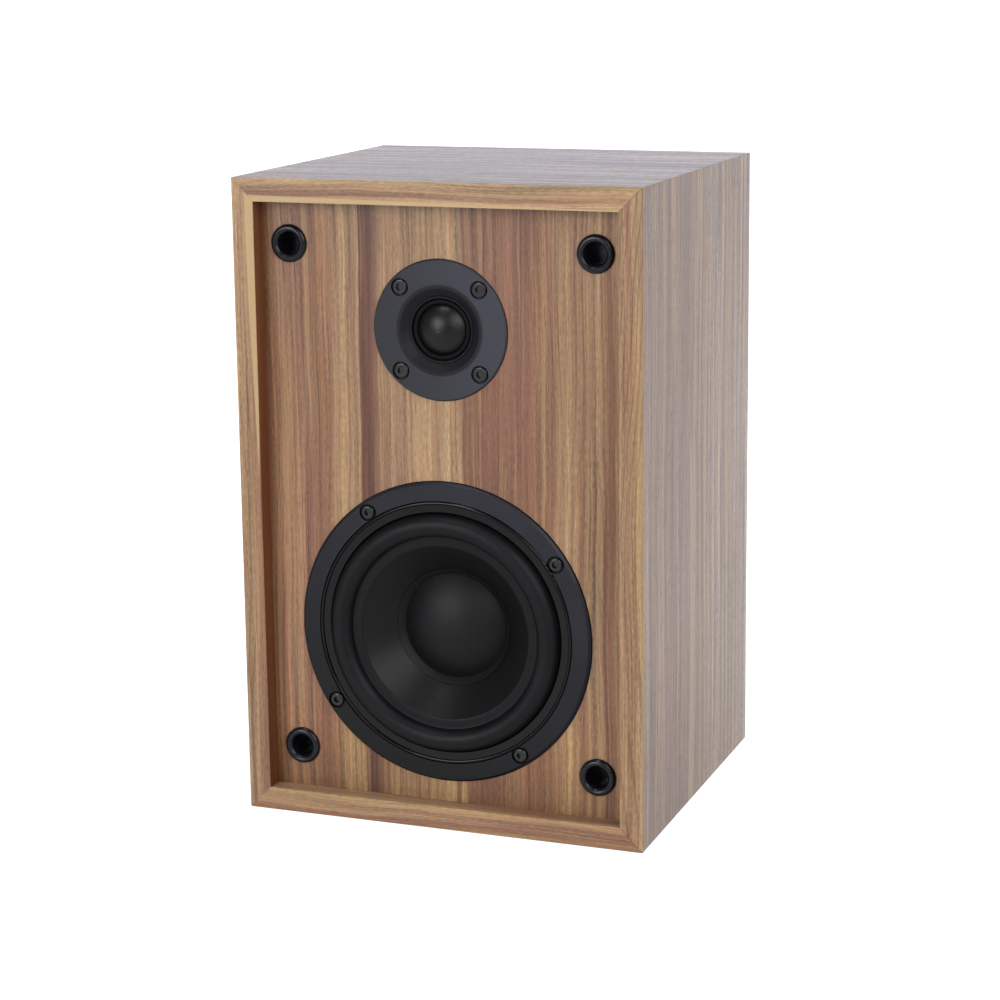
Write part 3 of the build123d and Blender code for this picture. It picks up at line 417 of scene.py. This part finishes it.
wood = {
    "front_baffle": veneer(
        "veneer_baffle", lambda g: (g.x, g.z),
        leaf(-baffle_half, -37.0, "brown brown fawn russet brown fawn honey honey")
        + leaf(-37.0, 4.0, "umber umber tan tan tan tan honey straw straw")
        + leaf(4.0, 9.5, "fawn honey straw")
        + leaf(9.5, baffle_half, "russet russet russet fawn russet brown fawn honey fawn tan brown tan"),
        baffle_details, 0.0,
    ),
    "cabinet_left": veneer(
        "veneer_left", lambda g: (g.y - g.x - (front_y + inner_x), g.z),
        leaf(0.0, turn, "fawn fawn tan tan honey")
        + leaf(turn, run, "grey dull grey dull pale grey", **side_seen),
        left_details, 50.0, 0.7,
    ),
    "cabinet_right": veneer(
        "veneer_right", lambda g: (g.y + g.x - (front_y + inner_x), g.z),
        leaf(0.0, turn, "tan tan fawn tan honey honey")
        + leaf(
            turn, run, "grey dull grey dull dull dull grey grey pale pale grey pale pale light", **side_seen
        ),
        right_details, 90.0, 0.7,
    ),
    "cabinet_top": veneer(
        "veneer_top", lambda g: (g.y + g.z - (front_y + height - panel), g.x),
        leaf(0.0, turn, "honey tan fawn tan honey honey")
        + leaf(turn, run, "mist mist silver silver silver bright silver", **top_seen),
        top_details, 130.0, 2.6,
    ),
    "cabinet_bottom": veneer(
        "veneer_bottom", lambda g: (g.y - g.z - (front_y - panel), g.x),
        leaf(0.0, turn, "honey fawn tan tan brown russet") + leaf(turn, run, "fawn tan fawn"),
        bottom_details, 170.0,
    ),
}


# ---------------------------------------------------------------------------------------------------
# The other materials
# ---------------------------------------------------------------------------------------------------


def moulded(name, dark, light, roughness, grain=1.6, relief=0.03, painted_light=0.0, **sockets):
    """Moulded plastic or painted metal: a fine grain, and slow changes of tone and gloss.

    The gain for painted light makes the woofer's frame paler towards its upper right, for the way the light
    falls across it.
    """
    g = Graph(name)
    slow = g.noise(g.x * 0.05, g.y * 0.05, g.z * 0.05, 2.0)
    fine = g.noise(g.x * grain, g.y * grain, g.z * grain, 3.0, 0.6)
    dust = g.step(g.noise(g.x * 0.9, g.y * 0.9, g.z * 0.9, 1.0), 0.74, 0.80)
    colour = g.ramp(slow * 0.6 + fine * 0.4, [(0.3, dark), (0.7, light)])
    colour = g.mix(dust * 0.10, colour, tuple(4 * c + 0.01 for c in light))
    # Painted light: the colour grows paler towards the upper right of the woofer's frame.
    if painted_light:
        slope = (g.x * 0.35 + (g.z - woofer_z)) * (1 / 60.0)
        colour = g.scale(colour, g.math("MAXIMUM", 0.1, 1.0 + slope * painted_light))
    gloss = roughness - 0.06 + slow * 0.06 + fine * 0.06 + dust * 0.08
    return g.finish(colour, gloss, g.bump(fine, relief), **sockets)


def pulp(name, dark, light, roughness, **sockets):
    """Pressed paper: matted fibres at two sizes."""
    g = Graph(name)
    mat = g.noise(g.x * 0.8, g.y * 0.8, g.z * 0.8, 4.0, 0.7)
    fibres = g.noise(g.x * 3.2, g.y * 3.2, g.z * 3.2, 3.0, 0.6)
    colour = g.ramp(mat * 0.5 + fibres * 0.5, [(0.34, dark), (0.68, light)])
    return g.finish(colour, roughness + mat * 0.1, g.bump(mat * 0.5 + fibres * 0.5, 0.10), **sockets)


def woven(name, dark, light, pitch, relief, roughness, **sockets):
    """A plain weave: two crossed sets of threads, seen square to the front."""
    g = Graph(name)
    over = g.math("SINE", g.x * (2 * pi / pitch))
    under = g.math("SINE", g.z * (2 * pi / pitch))
    weave = over * under * 0.5 + 0.5
    fuzz = g.noise(g.x * 5.0, g.y * 5.0, g.z * 5.0, 3.0)
    colour = g.ramp(weave * 0.7 + fuzz * 0.3, [(0.2, dark), (0.8, light)])
    return g.finish(colour, roughness + fuzz * 0.1, g.bump(weave * 0.7 + fuzz * 0.3, relief), **sockets)


def turned(name, dark, light, roughness, wear, **sockets):
    """Metal: faint brushed rings, stains and small scratches."""
    g = Graph(name)
    brushed = g.noise(g.x * 0.6, g.y * 9.0, g.z * 0.6, 3.0, 0.6)
    stain = g.noise(g.x * 0.12, g.y * 0.12, g.z * 0.12, 3.0, 0.6)
    colour = g.ramp(brushed * 0.5 + stain * 0.5, [(0.3, dark), (0.7, light)])
    gloss = roughness + (stain - 0.5) * wear + brushed * 0.08
    return g.finish(colour, gloss, g.bump(brushed, 0.012), **sockets)


def sleeved(name, dark, light, bands_at, band_colour, roughness, **sockets):
    """A wound or dipped component: one tone with others at its ends."""
    g = Graph(name)
    low, high = bands_at
    fine = g.noise(g.x * 1.2, g.y * 1.2, g.z * 1.2, 3.0, 0.6)
    colour = g.ramp(fine, [(0.3, dark), (0.7, light)])
    ends = g.math("MAXIMUM", 1 - g.step(g.x, low, low + 0.4), g.step(g.x, high - 0.4, high))
    colour = g.mix(ends, colour, band_colour)
    return g.finish(colour, roughness + fine * 0.1, g.bump(fine, 0.05), **sockets)


def paired(name, first, second, roughness, **sockets):
    """Wire insulation: one colour for the left wire of each pair, another for the right."""
    g = Graph(name)
    fine = g.noise(g.x * 2.0, g.y * 2.0, g.z * 2.0, 2.0)
    left, right = (
        g.ramp(fine, [(0.3, tuple(0.8 * c for c in tint)), (0.7, tint)]) for tint in (first, second)
    )
    return g.finish(g.mix(g.step(g.x, -0.1, 0.1), left, right), roughness, g.bump(fine, 0.03), **sockets)


def horned(name, plate, horn, roughness, inner, outer, **sockets):
    """The tweeter's plate: a satin face, darker down the short horn in its middle as painted shade, and paler
    towards its right as painted light.
    """
    g = Graph(name)
    across, up = g.x, g.z - tweeter_z
    radius = g.math("SQRT", across * across + up * up)
    slow = g.noise(g.x * 0.05, g.y * 0.05, g.z * 0.05, 2.0)
    fine = g.noise(g.x * 2.6, g.y * 2.6, g.z * 2.6, 3.0, 0.6)
    # Painted light makes the plate paler towards its right; painted shade darkens it from the face down into
    # the horn.
    painted_light = 0.78 + g.step(across * 0.9 + up * 0.2, -26.0, 26.0) * 0.56
    colour = g.scale(g.mix(g.step(radius, inner, outer), horn, plate), painted_light * (0.7 + fine * 0.6))
    return g.finish(colour, roughness + slow * 0.08, g.bump(fine, 0.035), **sockets)


capacitor_low, capacitor_high = node_box("capacitor")
finishes = {
    "back_board": moulded("back_board", (0.006, 0.006, 0.006), (0.014, 0.013, 0.013), 0.55, 0.9, 0.10),
    "cup_plastic": moulded(
        "cup_plastic", (0.0020, 0.0020, 0.0032), (0.0035, 0.0036, 0.0055), 0.28, 1.4, 0.02,
        Specular_IOR_Level=0.2,
    ),
    # The frame gets painted light: paler towards its upper right.
    "frame_metal": moulded(
        "frame_metal", (0.0035, 0.0035, 0.0050), (0.0065, 0.0065, 0.0092), 0.42, 2.2, 0.03, painted_light=0.75,
        Specular_IOR_Level=0.15,
    ),
    "trim_gloss": moulded(
        "trim_gloss", (0.001, 0.001, 0.001), (0.002, 0.002, 0.0025), 0.13, 0.5, 0.004,
        Specular_IOR_Level=0.15,
    ),
    "surround_rubber": moulded(
        "surround_rubber", (0.0012, 0.0012, 0.0016), (0.003, 0.003, 0.0036), 0.48, 1.2, 0.04,
        Specular_IOR_Level=0.12,
    ),
    "cone_pulp": pulp(
        "cone_pulp", (0.0013, 0.0013, 0.0013), (0.0040, 0.0040, 0.0040), 0.30, Specular_IOR_Level=0.13
    ),
    "cap_pulp": pulp(
        "cap_pulp", (0.0012, 0.0012, 0.0015), (0.003, 0.003, 0.0035), 0.42, Specular_IOR_Level=0.15
    ),
    "tweeter_plate_plastic": horned(
        "tweeter_plate_plastic", (0.0170, 0.0174, 0.0225), (0.0022, 0.0022, 0.0036), 0.46, 18.5, 19.6,
        Specular_IOR_Level=0.15,
    ),
    "dome_cloth": woven(
        "dome_cloth", (0.0010, 0.0010, 0.0010), (0.0025, 0.0025, 0.0025), 0.30, 0.02, 0.28,
        Specular_IOR_Level=0.2,
    ),
    "seal_foam": pulp("seal_foam", (0.010, 0.010, 0.010), (0.035, 0.035, 0.035), 0.8),
    "screw_black": turned(
        "screw_black", (0.002, 0.002, 0.002), (0.006, 0.006, 0.006), 0.20, 0.1, Specular_IOR_Level=0.3
    ),
    "spider_cloth": woven("spider_cloth", (0.35, 0.20, 0.06), (0.62, 0.40, 0.15), 0.7, 0.10, 0.7),
    "former_aluminium": turned(
        "former_aluminium", (0.55, 0.56, 0.58), (0.78, 0.79, 0.80), 0.25, 0.2, Metallic=1.0
    ),
    "coil_copper": turned("coil_copper", (0.45, 0.16, 0.07), (0.72, 0.30, 0.14), 0.25, 0.1, Metallic=1.0),
    "motor_steel": turned("motor_steel", (0.42, 0.42, 0.38), (0.62, 0.62, 0.58), 0.32, 0.3, Metallic=1.0),
    "ferrite": moulded("ferrite", (0.018, 0.018, 0.019), (0.045, 0.045, 0.047), 0.62, 0.8, 0.10),
    "strip_laminate": moulded("strip_laminate", (0.10, 0.045, 0.015), (0.19, 0.09, 0.035), 0.5, 1.1, 0.03),
    "tag_brass": turned("tag_brass", (0.55, 0.38, 0.13), (0.80, 0.60, 0.26), 0.24, 0.2, Metallic=1.0),
    "terminal_plastic": moulded(
        "terminal_plastic", (0.006, 0.006, 0.006), (0.013, 0.013, 0.014), 0.42, 1.3, 0.08
    ),
    "spacer_plastic": moulded("spacer_plastic", (0.45, 0.43, 0.38), (0.60, 0.58, 0.52), 0.45, 1.0, 0.03),
    "washer_steel": turned("washer_steel", (0.55, 0.55, 0.55), (0.76, 0.76, 0.77), 0.22, 0.2, Metallic=1.0),
    "knob_black": moulded("knob_black", (0.004, 0.004, 0.004), (0.008, 0.008, 0.009), 0.20, 0.8, 0.01),
    "knob_red": moulded("knob_red", (0.42, 0.008, 0.006), (0.60, 0.016, 0.012), 0.20, 0.8, 0.01),
    "capacitor_film": sleeved(
        "capacitor_film", (0.45, 0.26, 0.02), (0.62, 0.38, 0.04),
        (capacitor_low.x + 1.0, capacitor_high.x - 1.0), (0.30, 0.24, 0.13), 0.3,
    ),
    "resistor_ceramic": moulded("resistor_ceramic", (0.52, 0.50, 0.46), (0.74, 0.72, 0.68), 0.65, 0.9, 0.15),
    "wire_insulation": paired("wire_insulation", (0.014, 0.013, 0.013), (0.45, 0.012, 0.010), 0.4),
    "wadding": pulp("wadding", (0.50, 0.50, 0.48), (0.80, 0.80, 0.78), 0.9, Sheen_Weight=0.4),
}


def paint(obj, material):
    obj.data.materials.clear()
    obj.data.materials.append(material)


for part in record["subparts"]:
    name = part["node"]
    paint(nodes[name], wood.get(name) or finishes[part["material_slot"]])


# ---------------------------------------------------------------------------------------------------
# Pieces that are made here
# ---------------------------------------------------------------------------------------------------


def arc(start, through, end, steps=20):
    """Points on the circle through three points, from start to end."""
    (ax, ay), (bx, by), (cx, cy) = start, through, end
    turn = 2 * (ax * (by - cy) + bx * (cy - ay) + cx * (ay - by))
    a2, b2, c2 = (x * x + y * y for x, y in (start, through, end))
    centre = Vector((
        (a2 * (by - cy) + b2 * (cy - ay) + c2 * (ay - by)) / turn,
        (a2 * (cx - bx) + b2 * (ax - cx) + c2 * (bx - ax)) / turn,
    ))
    first, last = Vector(start) - centre, Vector(end) - centre
    between = Vector(through) - centre
    sweep = first.angle_signed(last)
    way = first.angle_signed(between)
    if (way > 0) != (sweep > 0) or abs(way) > abs(sweep):
        sweep -= 2 * pi if sweep > 0 else -2 * pi
    points = []
    for step in range(steps + 1):
        spoke = Matrix.Rotation(-sweep * step / steps, 2) @ first
        points.append(tuple(centre + spoke))
    return points


def add_mesh(name, vertices, faces, slot, smooth_angle=40.0):
    """A mesh piece from points in millimetres, shaded smooth up to an angle."""
    mesh = bpy.data.meshes.new(name)
    mesh.from_pydata([Vector(v) * MM for v in vertices], [], faces)
    mesh.validate()
    edit = bmesh.new()
    edit.from_mesh(mesh)
    bmesh.ops.remove_doubles(edit, verts=edit.verts, dist=0.001 * MM)
    bmesh.ops.recalc_face_normals(edit, faces=edit.faces)
    edit.to_mesh(mesh)
    edit.free()
    mesh.shade_smooth()
    mesh.set_sharp_from_angle(angle=radians(smooth_angle))
    piece = bpy.data.objects.new(name, mesh)
    bpy.context.scene.collection.objects.link(piece)
    paint(piece, finishes[slot])
    return piece


def lathe(name, outline, centre, slot, upright=False, segments=192):
    """Turn a closed outline of (radius, depth) points round an axis: along Y, or along Z if upright."""
    vertices, faces = [], []
    count = len(outline)
    for segment in range(segments):
        angle = 2 * pi * segment / segments
        for radius, depth in outline:
            side, up = radius * cos(angle), radius * sin(angle)
            offset = (side, up, depth) if upright else (side, depth, up)
            vertices.append(Vector(centre) + Vector(offset))
    for segment in range(segments):
        here, there = segment * count, (segment + 1) % segments * count
        for k in range(count):
            after = (k + 1) % count
            faces.append((here + k, here + after, there + after, there + k))
    return add_mesh(name, vertices, faces, slot)


def blend_by_radius(piece, fixed, moving, centre, fixed_radius, moving_radius):
    """Bend a round piece between two bodies: the outside is held and the inside moves."""
    held = Vector(centre) + Vector((fixed_radius, 0, 0))
    free = Vector(centre) + Vector((moving_radius, 0, 0))
    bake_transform(piece, fixed, moving, start=held * MM, end=free * MM)
    weights = piece.data.attributes["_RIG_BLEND"].data
    for vertex, weight in zip(piece.data.vertices, weights):
        radius = Vector((vertex.co.x / MM - centre[0], vertex.co.z / MM - centre[2])).length
        t = min(1.0, max(0.0, (fixed_radius - radius) / (fixed_radius - moving_radius)))
        weight.value = t * t * (3 - 2 * t)


# Woofer surround: a tall half roll with its lip glued on the cone's rim and its flange under the trim.
woofer_centre = (0.0, woofer_y, woofer_z)
roll_front = arc((51.6, 0.4), (46.75, -4.3), (41.9, 0.2), 28)
roll_back = arc((42.5, 0.8), (46.75, -3.7), (51.0, 0.7), 24)
surround_outline = (
    [(57.0, 2.2), (52.2, 2.2), (51.75, 2.05), (51.6, 1.7)]
    + roll_front
    + [(41.3, 0.34), (40.2, 0.38), (38.4, 0.38), (37.95, 0.45), (37.7, 0.62), (37.7, 0.8)]
    + roll_back
    + [(51.0, 3.0), (57.0, 3.0)]
)
surround = lathe("woofer_half_roll", surround_outline, woofer_centre, "surround_rubber", segments=256)
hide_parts("woofer_surround")
blend_by_radius(
    surround, "cabinet", "woofer_diaphragm", woofer_centre, fixed_radius=51.2, moving_radius=42.2
)

# Woofer dust cap: a shallow dome of pressed paper with its lip on the cone.
rim_depth, rim_radius, cone_slope = 0.8, 37.7, 0.89
cap_lip_radius, cap_radius = 25.8, 22.9
cap_height, cap_thickness = 8.0, 0.6


def cone_depth(radius):
    """How far the cone's front lies behind the flange's front face at a radius."""
    return rim_depth + cone_slope * (rim_radius - radius)


def dome(radius, apex, rim, steps=40):
    """Points on the arc that leaves the axis square at one depth and ends at a radius and another depth."""
    rise = rim - apex
    ball = (radius * radius + rise * rise) / (2 * rise)
    angles = [asin(radius / ball) * step / steps for step in range(steps + 1)]
    return [(ball * sin(angle), apex + ball * (1 - cos(angle))) for angle in angles]


cap_base = cone_depth(cap_radius) - cap_thickness
cap_apex = cap_base - cap_height
cap_inside = cap_radius - cap_thickness
cap_outline = (
    dome(cap_radius, cap_apex, cap_base)
    + [(cap_lip_radius - 0.2, cone_depth(cap_lip_radius) - 0.3), (cap_lip_radius, cone_depth(cap_lip_radius))]
    + dome(cap_inside, cap_apex + cap_thickness, cone_depth(cap_inside))[::-1]
)
cap = lathe("woofer_cap_shell", cap_outline, woofer_centre, "cap_pulp")
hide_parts("woofer_dust_cap")
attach(cap, "woofer_diaphragm")

# Woofer spider: a corrugated cloth disc.
spider_front, spider_cloth = 24.5, 0.5
wave_start, wave_length, wave_count, wave_height = 15.5, 3.0, 5, 0.9
spider_line = [(12.85, 0.0), (14.8, 0.0)]
for wave in range(wave_count * 12 + 1):
    turns = wave / 12
    spider_line.append((wave_start + wave_length * turns, -wave_height * sin(pi * turns)))
spider_line += [(32.0, 0.0), (40.2, 0.0)]
spider_outline = [(r, spider_front + d) for r, d in spider_line]
spider_outline += [(r, spider_front + spider_cloth + d) for r, d in reversed(spider_line)]
spider = lathe("woofer_cloth_spider", spider_outline, woofer_centre, "spider_cloth")
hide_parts("woofer_spider")
blend_by_radius(
    spider, "cabinet", "woofer_diaphragm", woofer_centre, fixed_radius=31.4, moving_radius=15.2
)

# Tweeter surround: the small roll round the dome.
tweeter_centre = (0.0, tweeter_y, tweeter_z)
small_roll = (
    arc((10.6, 3.1), (11.75, 2.2), (12.9, 3.1), 16)
    + [(12.9, 3.4), (16.5, 3.4), (16.5, 3.7), (12.8, 3.7)]
    + arc((12.8, 3.7), (11.75, 2.5), (10.6, 3.4), 16)[1:]
)
dome_edge = lathe("tweeter_half_roll", small_roll, tweeter_centre, "dome_cloth", segments=256)
# The roll's cloth is a darker, duller copy of the dome's: its darker colour is painted shade in the ring
# round the dome.
dome_edge_shaded_cloth = woven(
    "dome_edge", (0.0008, 0.0008, 0.0008), (0.0016, 0.0016, 0.0016), 0.30, 0.02, 0.55,
    Specular_IOR_Level=0.08,
)
paint(dome_edge, dome_edge_shaded_cloth)
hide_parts("tweeter_surround")
blend_by_radius(
    dome_edge, "cabinet", "tweeter_diaphragm", tweeter_centre, fixed_radius=12.9, moving_radius=10.7
)


def winding(name, node, slot, inner, outer, low, high, pitch, centre, body, upright=False):
    """A coil of round wire: the outline has one scallop a turn on its outside."""
    turns = round((high - low) / pitch)
    pitch = (high - low) / turns
    outline = [(inner, low), (inner, high)]
    for turn in range(turns, 0, -1):
        for part in range(5):
            along = low + (turn - part / 5) * pitch
            outline.append((outer - pitch / 2 + pitch / 2 * sin(pi * part / 5), along))
    coil = lathe(name, outline, centre, slot, upright, segments=96)
    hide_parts(node)
    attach(coil, body)


winding(
    "woofer_wire_coil", "woofer_coil", "coil_copper", inner=12.86, outer=13.45, low=35.5, high=46.5,
    pitch=0.42, centre=woofer_centre, body="woofer_diaphragm",
)
winding(
    "tweeter_wire_coil", "tweeter_coil", "coil_copper", inner=9.9, outer=10.4, low=3.4, high=9.6,
    pitch=0.31, centre=tweeter_centre, body="tweeter_diaphragm",
)
inductor_low, inductor_high = node_box("inductor_winding")
inductor_centre = ((inductor_low.x + inductor_high.x) / 2, (inductor_low.y + inductor_high.y) / 2, 0.0)
winding(
    "inductor_wire_coil", "inductor_winding", "coil_copper", inner=7.05,
    outer=(inductor_high.x - inductor_low.x) / 2, low=inductor_low.z + 0.05, high=inductor_high.z - 0.05,
    pitch=0.9, centre=inductor_centre, body="cabinet", upright=True,
)


def lead_route(side):
    """One braided lead, from the back of the cone to its tag on the strip."""
    start_y = woofer_y + 13.68
    strip_y = woofer_y + 27.0
    return [
        (side * 4.0, start_y + 0.67, woofer_z - 23.65),
        (side * 4.8, start_y + 4.67, woofer_z - 28.5),
        (side * 6.4, start_y + 5.17, woofer_z - 36.0),
        (side * 8.0, start_y + 7.67, woofer_z - 45.5),
        (side * 8.0, strip_y - 0.05, woofer_z - 46.5),
    ]


def braided_leads():
    """Both leads as one mesh: two tubes swept along smooth splines."""
    curve = bpy.data.curves.new("braid_paths", "CURVE")
    curve.dimensions = "3D"
    curve.bevel_depth = 0.6 * MM
    curve.bevel_resolution = 4
    curve.use_fill_caps = True
    for side in (-1, 1):
        route = lead_route(side)
        spline = curve.splines.new("NURBS")
        spline.points.add(len(route) - 1)
        for point, place in zip(spline.points, route):
            point.co = (*(Vector(place) * MM), 1.0)
        spline.order_u = 3
        spline.use_endpoint_u = True
        spline.resolution_u = 12
    carrier = bpy.data.objects.new("braid_paths", curve)
    bpy.context.scene.collection.objects.link(carrier)
    bpy.context.view_layer.update()
    tubes = bpy.data.meshes.new_from_object(carrier.evaluated_get(bpy.context.evaluated_depsgraph_get()))
    bpy.data.objects.remove(carrier)
    tubes.name = "woofer_braids"
    tubes.shade_smooth()
    leads = bpy.data.objects.new("woofer_braids", tubes)
    bpy.context.scene.collection.objects.link(leads)
    paint(leads, woven("braid", (0.30, 0.13, 0.06), (0.80, 0.50, 0.30), 0.5, 0.08, 0.35, Metallic=1.0))
    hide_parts("woofer_braid_leads")
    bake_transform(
        leads, "cabinet", "woofer_diaphragm",
        start=Vector((0, woofer_y, woofer_z - 45.0)) * MM, end=Vector((0, woofer_y, woofer_z - 25.0)) * MM,
    )


braided_leads()


def wadding():
    """A soft sheet against the side: full in the middle, thin and ragged towards its edges."""
    low, high = node_box("wadding_pad")
    rows, columns = 64, 36
    vertices, faces = [], []
    for layer in range(2):
        for row in range(rows + 1):
            for column in range(columns + 1):
                v, u = row / rows, column / columns
                edge = min(u, 1 - u, v * rows / columns, (1 - v) * rows / columns)
                puff = min(1.0, edge / 0.16)
                puff = (1 - (1 - puff) ** 2) ** 0.5
                y = low.y + (high.y - low.y) * u
                z = low.z + (high.z - low.z) * v
                lump = noise.fractal(Vector((y, z, 0)) * 0.06, 0.8, 2.0, 4)
                rag = noise.noise(Vector((y, z, 9.0)) * 0.15) * 1.2 * (1 - puff)
                thickness = (high.x - low.x) * max(0.06, puff * min(1.0, 0.80 + 0.28 * lump))
                x = high.x - (thickness if layer else 0.0)
                vertices.append((x, min(high.y, max(low.y, y + rag)), min(high.z, max(low.z, z + rag))))
    size = (rows + 1) * (columns + 1)
    for row in range(rows):
        for column in range(columns):
            a = row * (columns + 1) + column
            b, c, d = a + 1, a + columns + 2, a + columns + 1
            faces += [(a, b, c, d), (d + size, c + size, b + size, a + size)]
    rim = [row * (columns + 1) for row in range(rows + 1)]
    rim += [rows * (columns + 1) + column for column in range(1, columns + 1)]
    rim += [row * (columns + 1) + columns for row in range(rows - 1, -1, -1)]
    rim += [column for column in range(columns - 1, 0, -1)]
    for here, there in zip(rim, rim[1:] + rim[:1]):
        faces.append((here, there, there + size, here + size))
    pad = add_mesh("wadding_sheet", vertices, faces, "wadding", 80.0)
    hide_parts("wadding_pad")
    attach(pad, "cabinet")


wadding()


# ---------------------------------------------------------------------------------------------------
# Floor, light and camera
# ---------------------------------------------------------------------------------------------------


def make_floor():
    """A wide, even, pale floor that glows a little, as a lit white table does."""
    g = Graph("floor_white")
    cloud = g.noise(g.x * 0.002, g.y * 0.002, 0.0, 2.0)
    pale = g.ramp(cloud, [(0.3, (0.30, 0.30, 0.30)), (0.7, (0.34, 0.34, 0.34))])
    glow = 0.45 + g.step(g.y, -650.0, -280.0) * 0.37 + g.step(g.y, -50.0, 350.0) * 0.28
    material = g.finish(pale, 0.6, Emission_Color=(1.0, 1.0, 1.0, 1.0), Emission_Strength=glow)
    mesh = bpy.data.meshes.new("floor")
    reach = 6.0
    mesh.from_pydata([(-reach, -reach, 0), (reach, -reach, 0), (reach, reach, 0), (-reach, reach, 0)], [],
                     [(0, 1, 2, 3)])
    floor = bpy.data.objects.new("floor", mesh)
    floor.location.z = -0.0002
    bpy.context.scene.collection.objects.link(floor)
    paint(floor, material)


def make_world(backdrop, room, overhead):
    """A bright, faintly blue backdrop behind the speaker, and a dimmer room in front and overhead."""
    world = bpy.data.worlds.new("studio")
    bpy.context.scene.world = world
    world.use_nodes = True
    tree = world.node_tree
    background = tree.nodes["Background"]
    place = tree.nodes.new("ShaderNodeTexCoord")
    split = tree.nodes.new("ShaderNodeSeparateXYZ")
    tree.links.new(place.outputs["Generated"], split.inputs[0])

    def fade(axis, low, high, dim, bright):
        node = tree.nodes.new("ShaderNodeMapRange")
        node.interpolation_type = "SMOOTHSTEP"
        tree.links.new(split.outputs[axis], node.inputs["Value"])
        node.inputs["From Min"].default_value, node.inputs["From Max"].default_value = low, high
        for key, value in (("To Min", dim), ("To Max", bright)):
            if isinstance(value, bpy.types.NodeSocket):
                tree.links.new(value, node.inputs[key])
            else:
                node.inputs[key].default_value = value
        return node.outputs["Result"]

    around = fade("Y", -0.25, 0.35, room, backdrop)
    strength = fade("Z", sin(radians(20)), sin(radians(55)), around, overhead)
    tree.links.new(strength, background.inputs["Strength"])
    background.inputs["Color"].default_value = (0.87, 0.95, 1.1, 1.0)


def softbox(name, azimuth, elevation, distance, width, tall, radiance):
    """A rectangular light that faces the middle of the speaker."""
    lamp = bpy.data.lights.new(name, "AREA")
    lamp.shape = "RECTANGLE"
    lamp.size, lamp.size_y = width, tall
    lamp.energy = radiance * pi * width * tall
    holder = bpy.data.objects.new(name, lamp)
    a, e = radians(azimuth), radians(elevation)
    away = Vector((sin(a) * cos(e), -cos(a) * cos(e), sin(e)))
    holder.location = Vector((0, 0, height / 2 * MM)) + away * distance
    holder.rotation_euler = away.to_track_quat("Z", "Y").to_euler()
    bpy.context.scene.collection.objects.link(holder)


def make_camera():
    """The photograph's view: to the right of the front and a little above it, with a long lens."""
    azimuth, elevation, roll = radians(20.70), radians(11.51), radians(-0.662)
    place = Vector((0.3868, -1.0289, 0.3758))
    back = Vector((sin(azimuth) * cos(elevation), -cos(azimuth) * cos(elevation), sin(elevation)))
    right = Vector((cos(azimuth), sin(azimuth), 0))
    up = back.cross(right)
    turned_right = right * cos(roll) + up * sin(roll)
    turned_up = up * cos(roll) - right * sin(roll)
    lens = bpy.data.cameras.new("camera")
    lens.lens = 90.95
    lens.sensor_width = 36.0
    lens.shift_x = 0.0005
    lens.shift_y = -0.0559
    camera = bpy.data.objects.new("camera", lens)
    camera.matrix_world = Matrix((
        (turned_right.x, turned_up.x, back.x, place.x),
        (turned_right.y, turned_up.y, back.y, place.y),
        (turned_right.z, turned_up.z, back.z, place.z),
        (0, 0, 0, 1),
    ))
    bpy.context.scene.collection.objects.link(camera)
    bpy.context.scene.camera = camera


make_floor()
make_world(backdrop=1.38, room=0.55, overhead=0.3)
softbox("key", azimuth=-23, elevation=17, distance=2.0, width=0.8, tall=0.9, radiance=13.5)
softbox("fill", azimuth=52, elevation=30, distance=2.2, width=1.8, tall=1.4, radiance=5.4)
softbox("overhead", azimuth=-25, elevation=69, distance=1.5, width=0.3, tall=0.3, radiance=20.0)
make_camera()
bpy.context.scene.view_settings.view_transform = "Standard"
